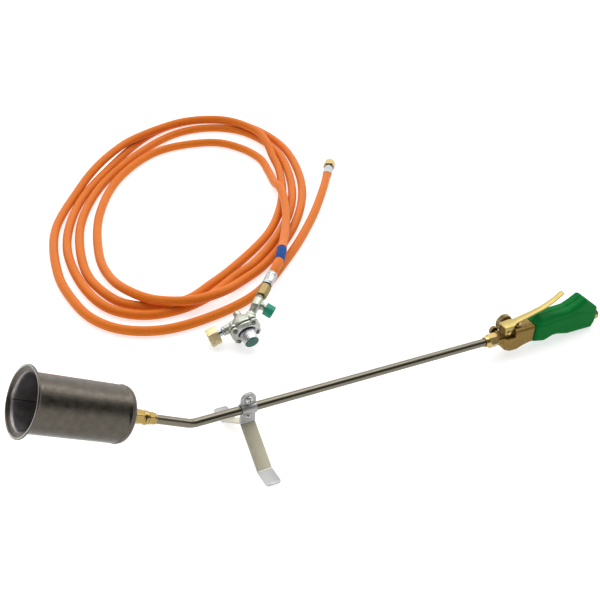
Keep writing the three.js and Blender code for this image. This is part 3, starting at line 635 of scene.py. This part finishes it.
def free_end():
    """The nut, the nipple that it turns on and the crimped sleeve."""
    sleeve = ferrule("ferrule_torch", FREE_END, 0.3, 23.5, -1)
    coned = lathe([(0, 23.6), (4.4, 23.6), (4.4, 30), (6, 32), (6, 34.8), (5, 36.5), (2.2, 36.5),
                   (2.2, 24.5), (0, 24.5)], 0.25)
    spigot = piece("hose_nipple_torch", coned, FREE_END @ ALONG_X, brass)
    bore = [*fine(8.0, 41.8, 31.6, 0.22), (4.8, 31), (4.8, 26)]
    outside = [(8.4, 26), (9.6, 26.9), (9.6, 33.2), (9.15, 33.8), (9.15, 34.6), (9.6, 35.2), (9.6, 42),
               (8.5, 43)]
    thread, hexagonal = threaded(1.34, 0.55, 31.7, 41.7), facets(6, 17)

    def cut_nut(angle, radius, height):
        in_bore = 7 < radius < 8.2
        return thread(angle, radius + 0.3, height) if in_bore else hexagonal(angle, radius, height)
    ring = [*outside, (8.15, 42.6), *bore]
    nut = piece("hose_nut_torch", turned(ring + ring[:1], 72, cut_nut), FREE_END @ ALONG_X, brass,
                "hose_nut_torch")
    return [sleeve, spigot, nut]


whole_hose = hose()
tape()
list(free_end())


# ---------------------------------------------------------------- burner
# Distances along the burner's axis, from the bend in the tube.
BACK_T = 86
MOUTH_T = 196.8
SEAM_AT = 119
WALL_R = 29.4
FLARE_LENGTH = 6.4
LIP_CREST = (34.6, 35.7)


def walled(line, half, bead):
    """The closed turned profile of a wall along a line, with a round bead round its last point."""
    at = [Vector(p) for p in line]
    outer, inner = [], []
    for i, here in enumerate(at):
        along = (at[min(i + 1, len(at) - 1)] - at[max(i - 1, 0)]).normalized()
        out = Vector((along.y, -along.x))
        outer.append(tuple(here + out * half))
        inner.append(tuple(here - out * half))
    around = [radians(130 - 26 * k) for k in range(11)]
    rim = [tuple(at[-1] + (along * cos(a) + out * sin(a)) * bead) for a in around]
    profile = outer[:-1] + rim + inner[-2::-1]
    return profile + profile[:1]


def faces_in(made, place):
    """The faces of a piece, each with its centre and its normal in a frame."""
    back = place.inverted()
    for face in made.data.polygons:
        yield face, back @ face.center, (back.to_3x3() @ face.normal).normalized()


def bell():
    """A drawn shell with a rounded back, a pressed ring, a flared mouth with a rolled lip, and a seam."""
    shoulder = [radians(6 + 14 * k) for k in range(7)]
    line = [(21.5, BACK_T - 1.2), *[(24.6 + 4.8 * sin(a), BACK_T + 3.6 - 4.8 * cos(a)) for a in shoulder]]
    line += [(WALL_R, BACK_T + 4.4), (29.95, BACK_T + 5), (29.95, BACK_T + 5.8), (WALL_R, BACK_T + 6.5)]
    line += [(WALL_R, BACK_T + 9 + 7 * k) for k in range(14)]
    flare = [radians(8 * k) for k in range(11)]
    widening = 5.9 / (1 - cos(flare[-1]))
    line += [(WALL_R + widening * (1 - cos(a)), MOUTH_T - FLARE_LENGTH + 5.1 * sin(a)) for a in flare]

    def beaten(angle, radius, height):
        seam = max(0, 1 - abs((degrees(angle) - SEAM_AT + 180) % 360 - 180) / 1.8)
        dented = 0.07 * sin(2 * angle + 0.6) + 0.05 * sin(5 * angle + height * 0.045)
        return radius + (dented - 0.45 * seam if height < MOUTH_T - 7 else dented)
    made = piece("bell_shell", turned(walled(line, 0.6, 1.25), 240, beaten), NECK, burner_steel, sharp=50)
    for look in (bell_inside_painted_light, lip_painted_highlight, seam_soot):
        made.data.materials.append(look)
    for face, at, out in faces_in(made, NECK):
        # The crest of the rolled lip takes the lighter steel: a painted highlight.
        if at.z > MOUTH_T - 3.5:
            face.material_index = 2 if LIP_CREST[0] < at.xy.length < LIP_CREST[1] and out.z > 0 else 0
        # Faces that look inwards take the lighter inside steel, painted light; those on the seam take its
        # dark line.
        elif out.x * at.x + out.y * at.y < 0:
            on_seam = abs(degrees(atan2(at.y, at.x)) - SEAM_AT) < 1.2 and at.z > BACK_T + 8
            face.material_index = 3 if on_seam else 1


def drilled(radius, bore, holes, hole_radius, circle, low, high):
    disc = turned(ring_profile([(bore, low), (radius, low), (radius, high), (bore, high)], 0.2), 96)
    hole = rod(hole_radius, low - 1, high + 1, 0, 24)
    angles = [2 * pi * k / holes for k in range(holes)]
    tools = [moved(hole, move(circle * cos(a), circle * sin(a))) for a in angles]
    return cut(disc, *tools)


def burner():
    bell()
    # The back plate and the flame holder take the lighter inside steel: painted light.
    piece("bell_back", drilled(26.2, 6.6, 6, 4.6, 17, BACK_T + 4, BACK_T + 5.4), NECK, bell_inside_painted_light)
    piece("flame_holder", drilled(28.3, 9, 6, 3.5, 18.5, BACK_T + 28, BACK_T + 29.5), NECK, bell_inside_painted_light)
    holder = [(5.2, 56.8), (6.9, 56.8), (7.7, 57.6), (7.7, 60.6), (6.7, 61.4), (6.7, 63.2), (8.2, 64.2),
              (8.2, 79), (7.5, 80), (7.5, BACK_T + 3.6), (6.3, BACK_T + 3.6), (6.3, 96), (4.4, 96),
              (4.4, 89), (5.2, 89)]
    shape = facets(6, 14.6, 15, 63.8, 79.4)
    piece("jet_holder", turned(ring_profile(holder, 0.3), 96, shape, 15), NECK, neck_brass)
    jet = [(0.7, 95), (4.1, 95), (4.1, 96.3), (5.1, 96.3), (5.1, 101), (2, 107), (0.7, 107)]
    piece("gas_jet", turned(ring_profile(jet, 0.2), 72, facets(6, 9, 0, 96.2, 101.1)), NECK, brass)
    ring = [(5.2, 47), (6.1, 47), (6.3, 47.5), (6.3, 50), (7.0, 50.6), (7.0, 55.8), (6.6, 56.4),
            (5.2, 56.4)]
    collar = turned(ring_profile(ring, 0.2), 96, facets(6, 12.6, 15, 50.3, 56))
    piece("lance_collar", collar, NECK, neck_brass)


# ---------------------------------------------------------------- lance tube and stand
BEND_RADIUS = 28


def lance_tube():
    tangent = BEND_RADIUS * tan(radians(NECK_TILT / 2))
    line = [(343.4, 0, 0), (200, 0, 0), (60, 0, 0)]
    for k in range(25):
        angle = radians(NECK_TILT * k / 24)
        line.append((BEND_S + tangent - BEND_RADIUS * sin(angle), 0, BEND_RADIUS * (1 - cos(angle))))
    slope = radians(NECK_TILT)
    line.append((BEND_S - 61.2 * cos(slope), 0, 61.2 * sin(slope)))
    piece("lance_tube", pipe(line, 5, 64), LANCE, nickel)


STRIP_S = -3
STRIP = 1.5
SCREW_H = 12.5
FOOT_BEND = (45, 49.6)
RIVET_H = 11
CLEAR = 0.15 + STRIP + 0.3


def stand_leg(name, side):
    """A strip that runs from a round tab, round half the tube, down and out to a foot."""
    middle = 0.15 + STRIP / 2
    sleeve = 5.3 + STRIP / 2
    start = 90 - 8.5
    turns = [radians(start - 2 * start * k / 14) for k in range(15)]
    arc = [(sleeve * cos(angle), sleeve * sin(angle)) for angle in turns]
    line = rounded([(middle, 21), (middle, 7.6, 0.8), *[(*p, 0) for p in arc], (middle, -7.6, 0.8),
                    (middle, -19.5, 2.4), (47.3, -52.05, 2), (71.3, -52.05)], 0, parts=6)
    total = length_of([Vector(p) for p in line])
    tab = [radians(a) for a in (0, 16, 28, 40, 52, 64, 77, 90)]
    toe = [radians(a) for a in (0, 22, 45, 68, 90)]
    widths = [(9 - 9 * cos(a), 1 + 8 * sin(a)) for a in tab]
    widths += [(total - 4 + 4 * sin(a), 5 + 4 * cos(a)) for a in toe]
    shell = softened(strip([(side * y, z) for y, z in line], widths, STRIP), 0.28, 2, 40)
    made = piece(name, moved(shell, move(STRIP_S)), LANCE, zinc)
    for look in (leg_painted_light, bend_painted_highlight):
        made.data.materials.append(look)
    for face, at, out in faces_in(made, LANCE):
        # Slanted faces of the leg take the lighter, yellower zinc: painted light.
        if at.z < -20 and 0.6 < abs(out.z) < 0.86:
            face.material_index = 1
        # Faces on the bend above the foot take the bright zinc: a painted highlight.
        elif FOOT_BEND[0] < abs(at.y) < FOOT_BEND[1] and 0.86 <= abs(out.z) < 0.96:
            face.material_index = 2


def cross_recess(low, high, reach):
    """The four-winged tool that cuts a screw's cross."""
    wing = [(reach, 0.5), (0.5, 0.5), (0.5, reach), (-0.5, reach), (-0.5, 0.5), (-reach, 0.5),
            (-reach, -0.5), (-0.5, -0.5), (-0.5, -reach), (0.5, -reach), (0.5, -0.5), (reach, -0.5)]
    tip = [(x * 0.45, y * 0.45) for x, y in wing]
    return layered([(low, tip), (high, wing), (high + 2, wing)])


def stand():
    stand_leg("stand_leg_near", -1)
    stand_leg("stand_leg_far", 1)
    screw_place = LANCE @ move(STRIP_S, 0, SCREW_H) @ FROM_SIDE
    shank = [(2.4, CLEAR), *fine(2.4, 0, -7.8, 0.14), (0, -8)]
    head = solid_profile([(0, CLEAR + 3.2), (2.6, CLEAR + 3.0), (4.4, CLEAR + 2.1), (5.3, CLEAR + 0.5),
                          (5.3, CLEAR), (2.4, CLEAR)], 0.9, 5)
    screw = turned(head[:-1] + shank, 64, threaded(0.8, 0.35, -7.7, -0.2))
    piece("stand_screw", cut(screw, cross_recess(CLEAR + 0.9, CLEAR + 3.3, 2.9)), screw_place, screw_zinc)
    nut = ring_profile([(2.55, -CLEAR), (4.2, -CLEAR), (4.8, -CLEAR - 0.5), (4.8, -CLEAR - 3.5),
                        (4.2, -CLEAR - 4), (2.55, -CLEAR - 4)], 0.15)
    piece("stand_nut", hex_nut(nut, 8), screw_place, screw_zinc)
    rivet = [(0, CLEAR + 1.7), (1.5, CLEAR + 1.4), (2.7, CLEAR + 0.2), (2.7, CLEAR), (1.4, CLEAR),
             (1.4, -CLEAR), (2.5, -CLEAR), (2.5, -CLEAR - 0.2), (1.4, -CLEAR - 1.2), (0, -CLEAR - 1.4)]
    piece("stand_rivet", lathe(rivet, 0.4, 40), LANCE @ move(STRIP_S, 0, -RIVET_H) @ FROM_SIDE,
          screw_zinc)


# ---------------------------------------------------------------- lance nut and valve body
def pillow(outline, half_width, edge, low=None, steps=5):
    """A closed outline raised to half_width on both sides of its plane, or from low, with round edges."""
    top = [(half_width - edge * (1 - sin(pi / 2 * k / steps)), edge * (1 - cos(pi / 2 * k / steps)))
           for k in range(steps + 1)]
    bottom = [(-h, d) for h, d in top[::-1]] if low is None else [(low, 0)]
    return layered([(height, inset(outline, depth)) for height, depth in bottom + top])


def lance_nut():
    profile = [(5.3, 324.7), (6.3, 324.7), (7.3, 329.2), (7.3, 329.7), (8.1, 329.9), (9.1, 331),
               (9.1, 341.6), (8.2, 342.5), (5.3, 342.5)]
    piece("lance_nut", hex_nut(ring_profile(profile, 0.25), 15.5), LANCE @ ALONG_X, brass)


def valve_body():
    line = rounded([(350.5, -7.5), (353.5, -14.8), (361, -18.2), (372, -18.4), (381, -14.8), (390, -12.6),
                    (397.7, -12), (397.7, 12.7), (366, 13), (361, 15), (352.5, 15), (350, 8)], 2.2)
    block = moved(pillow(line, 11.3, 5), FROM_SIDE)
    neck = moved(hex_nut([(0, 342), (7.8, 342), (8.8, 343), (8.8, 351), (8.8, 356), (0, 356)], 15, 30),
                 ALONG_X)
    spigot = moved(rod(6.5, 338.6, 346, 0.3), ALONG_X)
    boss = moved(rod(3.6, 3, 8.6, 0.4), move(PILOT[0], 0, PILOT[1]) @ ALONG_Y)
    body = cast(joined(block, neck, spigot, boss), 0.42, 5)
    slots = [prism([(340, y), (365, y), (365, y + 9), (340, y + 9)], 3.2, 22) for y in (5.3, -14.3)]
    bores = [moved(rod(3.3, 7, 14, 0), move(PLUNGER_S)), moved(rod(5.3, 336, 343, 0), ALONG_X)]
    piece("valve_body", cut(body, *slots, *bores), LANCE, cast_brass)
    gland = ring_profile([(2.3, 8.3), (4.1, 8.3), (4.1, 13.2), (5.5, 13.2), (5.5, 15.1), (4.9, 15.7),
                          (2.3, 15.7)], 0.2)
    piece("plunger_gland", hex_nut(gland, 9.8), LANCE @ move(PLUNGER_S), brass)
    stem = lathe([(0, -2), (2, -2), (2, 18.2), (3, 18.2), (3, 19), (1.6, 19.5), (0, 19.6)], 0.2, 40)
    piece("valve_plunger", stem, LANCE @ move(PLUNGER_S), brass, "plunger")


def lever():
    """A bent strip that narrows towards a turned-up end, with two ears on the pivot pin."""
    line = rounded([(349.6, 17.8), (362, 18.8, 8), (374, 21.4, 12), (398, 26.8, 12), (410, 30.1, 12),
                    (421, 34.7, 12), (428, 38.5, 10), (434, 42.6, 8), (440.9, 47.5)], 8, parts=5)
    total = length_of([Vector(p) for p in line])
    widths = [(0, 6.4), (0.7, 7.1), (13.2, 7.1), (15.5, 6.6), (18, 5.2), (21, 4.4), (50, 3.7),
              (total - 3.2, 3.3)]
    tip = [radians(a) for a in (22, 45, 66, 82, 90)]
    widths += [(total - 3.2 + 3.2 * sin(a), 0.2 + 3.1 * cos(a)) for a in tip]
    blade = moved(strip(line, widths, 2.2), turn("Z", -90))
    ear = rounded([(350.2, 18.2), (350.2, 9, 3), (352.4, 5.6, 3), (356, 4.6, 3), (359.6, 5.6, 3),
                   (361.8, 9, 3), (363.4, 19.2)], 0)
    ears = [moved(prism(ear, low, low + 1.5), FROM_SIDE) for low in (5.6, -7.1)]
    shell = joined(*[softened(shell, 0.35, 2, 40) for shell in (blade, *ears)])
    piece("lever", shell, LANCE, lever_brass, "lever")
    pin = [(0, -8.6), (2.2, -8.6), (2.8, -8), (2.8, -7.4), (1.6, -7.4), (1.6, 8.2), (0, 8.4)]
    piece("lever_pin", lathe(pin, 0.25, 40), LANCE @ move(PIN[0], 0, PIN[1]) @ ALONG_Y, brass)


def knobs():
    place = LANCE @ move(FLOW[0], 0, FLOW[1]) @ ALONG_Y
    gland = ring_profile([(2.4, 8.3), (4.5, 8.3), (4.5, 11.7), (6.1, 11.7), (6.1, 14), (2.4, 14)], 0.2)
    piece("flow_gland", hex_nut(gland, 10.8), place, brass)
    wheel = solid_profile([(0, 5.2), (2, 5.2), (2, 14.4), (10.2, 14.4), (11, 15.1), (11, 16.5), (11, 18),
                           (11, 19.5), (11, 20.7), (10.2, 21.4), (7.4, 21.4), (6.6, 20.6), (0, 20.6)], 0.25)
    piece("flow_knob", turned(wheel, 240, fluted(24, 0.9, 15, 20.8)), place, knob_brass, "flow_knob")
    place = LANCE @ move(PILOT[0], 0, PILOT[1]) @ ALONG_Y
    head = solid_profile([(0, 2.6), (1.5, 2.6), (1.5, 9.2), (5.4, 9.2), (6, 9.8), (6, 11.5), (6, 13.2),
                          (5.4, 13.8), (0, 13.8)], 0.2)
    slot = prism([(-7, -0.6), (7, -0.6), (7, 0.6), (-7, 0.6)], 12.8, 15)
    knob = cut(turned(head, 168, fluted(18, 0.5, 9.7, 13.3)), slot)
    piece("pilot_screw", knob, place, knob_brass, "pilot_screw")


# ---------------------------------------------------------------- grip and hose inlet
GRIP_S = 398.3


def grip():
    """Two moulded halves whose sides step in along a crease below the top."""
    top = rounded([(GRIP_S, 13), (399.5, 13), (406, 20.2), (428, 21.4), (452, 22.4), (463, 27),
                   (475.5, 34.4, 3.5), (500.4, 15.5), (501.4, -2), (480, -6), (GRIP_S, -6)], 2.5)
    side = rounded([(GRIP_S, 11.8), (404, 14.6), (440, 16.6, 14), (468, 20.5, 12), (494, 12.5), (501.4, 5),
                    (501.2, -5, 3), (496.3, -15.4), (455, -15.4, 10), (437, -11.4, 8), (429, -11.4, 8),
                    (416, -16.3, 10), (399.5, -12.9), (GRIP_S, -12.9)], 2.5)
    hexagon = hex_nut([(0, 495), (12, 495), (12, 500), (0, 500)], 15.8, 30)
    pocket = (rod(9, 486, 496, 0), hexagon, rod(7.6, 495, 505, 0))
    tools = [moved(shell, move(z=-INLET_DROP) @ ALONG_X) for shell in pocket]
    holes = [(413, 13), (474, 19)]
    bores = [moved(rod(3.3, 9.2, 14, 0, 32), move(along, 0, up) @ ALONG_Y) for along, up in holes]
    to_far = Matrix.Scale(-1, 4, (0, 1, 0))
    for name, place in (("grip_near", FROM_SIDE), ("grip_far", to_far @ FROM_SIDE)):
        half = cast(joined(pillow(top, 11.9, 5.5, 0.1), pillow(side, 12.6, 6, 0.1)), 0.55, 2)
        piece(name, cut(moved(half, place), *tools, *bores), LANCE, green)
    for name, (along, up) in zip(("front", "rear"), holes):
        head = solid_profile([(0, 5), (1.5, 5), (1.5, 9.3), (3, 9.3), (3, 10.9), (2, 11.5), (0, 11.6)],
                             0.25)
        screw = cut(turned(head, 40), cross_recess(9.9, 11.7, 1.9))
        piece(f"grip_screw_{name}", screw, LANCE @ move(along, 0, up) @ ALONG_Y, screw_zinc)


def inlet_fitting():
    """A hexagon held by the grip and a threaded stub for the hose's nut."""
    low, high = 500.6, 509.4
    profile = [(6.2, 488), (7.8, 488), (8.6, 489), (8.6, 498), (7.8, 499), (6.7, 499.2), (6.7, 500.2),
               *fine(7.2, low, high, 0.22), (6.4, 510.4), (4.4, 510.4), (4.4, 492), (6.2, 492)]
    hexagonal, groove = facets(6, 15, 30), threaded(1.34, 0.62, low + 0.1, high - 0.1)

    def shape(angle, radius, height):
        return groove(angle, radius, height) if radius == 7.2 else hexagonal(angle, radius, height)
    piece("inlet_fitting", turned(profile + profile[:1], 72, shape), LANCE @ move(z=-INLET_DROP) @ ALONG_X,
          brass)


# ---------------------------------------------------------------- regulator
SCREW_OUT = 13.1
corners = [(i * SCREW_OUT, j * SCREW_OUT) for i, j in ((1, 1), (-1, 1), (-1, -1), (1, -1))]


def flange(low, high):
    ears = [moved(rod(5.6, low, high, 0.7, 32), move(x, y)) for x, y in corners]
    return joined(rod(20, low, high, 0.7, 72), *ears)


def regulator_body():
    cup = lathe([(0, -19.2), (8, -19.2), (14, -12), (16.5, -4.5), (16.5, -2), (0, -2)], 1.2, 64)
    inlet = moved(lathe([(0, -24), (6.5, -24), (6.5, -16), (7.4, -13), (7.4, 0), (0, 0)], 0.8),
                  REGULATOR.inverted() @ INLET)
    outlet = moved(lathe([(0, 0), (7.4, 0), (7.4, 9), (6.8, 11), (6.8, 15), (0, 15)], 0.8),
                   REGULATOR.inverted() @ OUTLET @ ALONG_X)
    piece("regulator_base", cast(joined(flange(-4.6, -0.7), cup, inlet, outlet), 0.36, 6), REGULATOR,
          die_cast)
    neck = rod(8.2, 3, 14, 0.5)
    bonnet = cast(joined(flange(0.7, 4), neck, rod(16.2, 2, 4.6, 0.8, 64)), 0.36, 5)
    piece("regulator_bonnet", bonnet, REGULATOR, die_cast)
    raised = ring_profile([(11.2, 4), (16, 4), (15.6, 4.9), (14.3, 6), (13, 6.3), (12, 5.4), (11.2, 5.2)],
                          0.5, 4)
    piece("bonnet_ring", turned(raised, 96), REGULATOR, plated, stands_for=[])
    seal = ring_profile([(8.7, 5.2), (10.9, 5.2), (10.9, 6.6), (10.2, 7), (8.7, 7)], 0.3)
    piece("dust_ring", turned(seal, 72), REGULATOR, black_rubber)
    plug = solid_profile([(0, -28), (4.6, -28), (5.2, -27.3), (5.2, -22), (4.8, -21.6), (4.8, -21),
                          (5.2, -20.6), (5.2, -19), (0, -19)], 0.3)
    recess = hex_nut([(0, -29), (2.6, -29), (2.6, -25), (0, -25)], 5)
    piece("back_plug", cut(turned(plug, 48), recess), REGULATOR, die_cast)
    for number, (x, y) in enumerate(corners, 1):
        head = solid_profile([(0, -6), (1.6, -6), (1.6, 4), (2.9, 4), (2.9, 5.7), (2.2, 6.4), (0, 6.5)],
                             0.3)
        screw = cut(turned(head, 40), cross_recess(5, 6.6, 1.8))
        piece(f"bonnet_screw_{number}", screw, REGULATOR @ move(x, y), dark_steel)


def adjusting_knob():
    skirt = ring_profile([(8.8, 7.2), (10.3, 7.2), (10.3, 8.4), (10.1, 9.2), (9.95, 13), (9.8, 17),
                          (9.7, 20.2), (9.3, 21), (6, 21), (6, 19.5), (8.8, 19.5)], 0.35)
    knob = turned(skirt, 256, fluted(32, 0.22, 9, 17.2))
    piece("adjusting_knob", joined(knob, rod(6.4, 10.6, 20.6)), REGULATOR, knob_zinc, "adjusting_knob")
    cap = solid_profile([(0, 20.9), (9.1, 20.9), (9.1, 22), (8.3, 22.6), (7.2, 22.6), (6.8, 22.3),
                         (2.2, 22.3), (1.8, 22.6), (0, 22.6)], 0.25)
    piece("knob_cap", turned(cap, 96), REGULATOR, teal, "adjusting_knob")


def inlet_stem():
    stem = [(0, -41), (2, -41), (2, -45), (2.8, -45), (4.4, -42), (4.4, -39), (7.4, -39), (7.4, -36.3),
            (4.5, -36.3), (4.5, -27.4), (6, -27), (6.3, -26.2), (6.3, -25), (6, -24.2), (0, -24.2)]
    piece("inlet_stem", lathe(stem, 0.3, 64), INLET, plated, finish="nickel_tube")
    washer = ring_profile([(4.7, -41), (7.4, -41), (7.4, -39.1), (4.7, -39.1)], 0.3)
    piece("bottle_washer", turned(washer, 56), INLET, black_rubber)
    outside = [(4.8, -32.3), (10.8, -32.3), (12.7, -33.6), (12.7, -38.6), (11.7, -39.5), (11.7, -40.1),
               (12.7, -41), (12.7, -46), (10.9, -47.3), (8.5, -47.3)]
    bore = fine(8.1, -46.6, -36.4, 0.24)
    groove, hexagonal = threaded(1.8, 0.6, -46.5, -36.5), facets(6, 22, 15)

    def shape(angle, radius, height):
        return groove(angle, radius + 0.3, height) if radius == 8.1 else hexagonal(angle, radius, height)
    ring = [*outside, *bore, (8.1, -36), (4.8, -35.8)]
    piece("bottle_nut", turned(ring + ring[:1], 144, shape, 15), INLET, pale_brass, "bottle_nut")


# ---------------------------------------------------------------- outlet, hose-rupture valve and its button
def outlet_side():
    tube = [(2.8, 15), (5.2, 15), *fine(5.5, 15.4, 28, 0.24), (5.2, 28.6), (2.8, 28.6)]
    piece("outlet_tube", turned(tube + tube[:1], 72, threaded(1.8, 0.7, 15.5, 27.9)), OUTLET @ ALONG_X,
          die_cast)
    along = lathe([(0, 28.7), (6, 28.7), (6.6, 29.5), (6.6, 43), (5, 45.5), (4.7, 48), (4.7, 52),
                   (0, 52)], 0.5)
    stub = moved(lathe([(0, 0), (5.2, 0), (5.2, 7), (4.6, 9), (4.6, 14.6), (0, 14.6)], 0.4),
                 (OUTLET @ ALONG_X).inverted() @ BUTTON)
    piece("rupture_valve_body", cast(joined(along, stub), 0.3, 5), OUTLET @ ALONG_X, die_cast)
    cap = solid_profile([(0, 12.4), (8.2, 12.4), (9, 13.2), (9, 23.2), (8, 24.4), (0, 24.4)], 0.3)
    button = turned(cap, 96, facets(8, 16.6, 22.5), 22.5)
    dish = lathe([(0, 23.9), (5.4, 24.1), (6.2, 25), (0, 25)], 0.2)
    skirt = rod(5.6, 11, 15.5, 0)
    piece("reset_button", cut(button, dish, skirt), BUTTON, cap_green, "reset_button")
    neck = [(4.2, 50), (7.4, 50), (8.1, 51), (8.1, 56.2), (8.1, 63.8), (8.1, 69), (7.4, 70), (4.2, 70)]
    hexagonal = facets(6, 14, 10)
    piece("outlet_nut", turned(ring_profile(neck, 0.2), 72, hexagonal, 10), OUTLET @ ALONG_X, nut_brass)
    piece("hose_nipple_regulator", rod(4.5, 69.4, 73, 0.4), OUTLET @ ALONG_X, brass)
    ferrule("ferrule_regulator", OUTLET, *FERRULE, 1)


burner()
lance_tube()
stand()
lance_nut()
valve_body()
lever()
knobs()
grip()
inlet_fitting()
regulator_body()
adjusting_knob()
inlet_stem()
outlet_side()

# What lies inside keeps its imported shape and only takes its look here.
inside = {
    brass: ("lance_olive", "inlet_tube"),
    spring_wire: ("plunger_spring", "pressure_spring", "reset_spring"),
    black_rubber: ("valve_seal", "diaphragm"),
    die_cast: ("diaphragm_plate", "spring_plate"),
}
for look, names in inside.items():
    for name in names:
        mesh = frame["nodes"][name].data
        mesh.materials.clear()
        mesh.materials.append(look)


# ---------------------------------------------------------------- floor and light
def floor():
    made = bpy.data.materials.new("floor")
    made.use_nodes = True
    fill(made.node_tree.nodes["Principled BSDF"], {
        "Base Color": (0.5, 0.5, 0.5, 1), "Roughness": 0.9, "Emission Color": (1, 1, 1, 1),
        "Emission Strength": 0.68})
    mesh = bpy.data.meshes.new("floor")
    mesh.from_pydata([(-20, -20, 0), (20, -20, 0), (20, 20, 0), (-20, 20, 0)], [], [(0, 1, 2, 3)])
    mesh.materials.append(made)
    ground = bpy.data.objects.new("floor", mesh)
    bpy.context.scene.collection.objects.link(ground)
    return ground


def lamp(name, at, towards, size, power):
    data = bpy.data.lights.new(name, "AREA")
    data.shape = "RECTANGLE"
    data.size, data.size_y = size
    data.energy = power
    made = bpy.data.objects.new(name, data)
    made.location = at
    made.rotation_euler = (Vector(towards) - Vector(at)).to_track_quat("-Z", "Y").to_euler()
    bpy.context.scene.collection.objects.link(made)


def sky():
    """Bright behind the tool, overhead and at the horizon, and dark on the near side.

    The dark side puts dark bands on the metal.
    """
    world = bpy.data.worlds.new("studio")
    world.use_nodes = True
    nodes, links = world.node_tree.nodes, world.node_tree.links
    at = nodes.new("ShaderNodeTexCoord")
    towards = nodes.new("ShaderNodeVectorMath")
    towards.operation = "DOT_PRODUCT"
    towards.inputs[1].default_value = (0.41, 0.76, 0.5)
    strength = nodes.new("ShaderNodeMapRange")
    strength.interpolation_type = "SMOOTHSTEP"
    fill(strength, {"From Min": 0.1, "From Max": 0.8, "To Min": 0.1, "To Max": 1.5})
    fill(nodes["Background"], {"Color": (1, 1, 1, 1)})
    links.new(at.outputs["Generated"], towards.inputs[0])
    links.new(towards.outputs["Value"], strength.inputs["Value"])
    split = nodes.new("ShaderNodeSeparateXYZ")
    haze = nodes.new("ShaderNodeMapRange")
    fill(haze, {"From Min": 0.06, "From Max": 0.2, "To Min": 1, "To Max": 0})
    links.new(at.outputs["Generated"], split.inputs["Vector"])
    links.new(split.outputs["Z"], haze.inputs["Value"])
    brighter = nodes.new("ShaderNodeMath")
    brighter.operation = "MAXIMUM"
    links.new(strength.outputs["Result"], brighter.inputs[0])
    links.new(haze.outputs["Result"], brighter.inputs[1])
    links.new(brighter.outputs["Value"], nodes["Background"].inputs["Strength"])
    bpy.context.scene.world = world


floor()
middle = (0, 0.25, 0.05)
lamp("overhead", (0.2, 0.75, 2.1), middle, (3.2, 1.7), 25)
lamp("left", (-1.8, -0.9, 0.8), (-0.35, 0, 0.1), (0.8, 0.6), 7)
lamp("right", (1.9, 0.3, 1.4), middle, (0.9, 0.7), 4)
sky()
bpy.context.scene.view_settings.view_transform = "Standard"
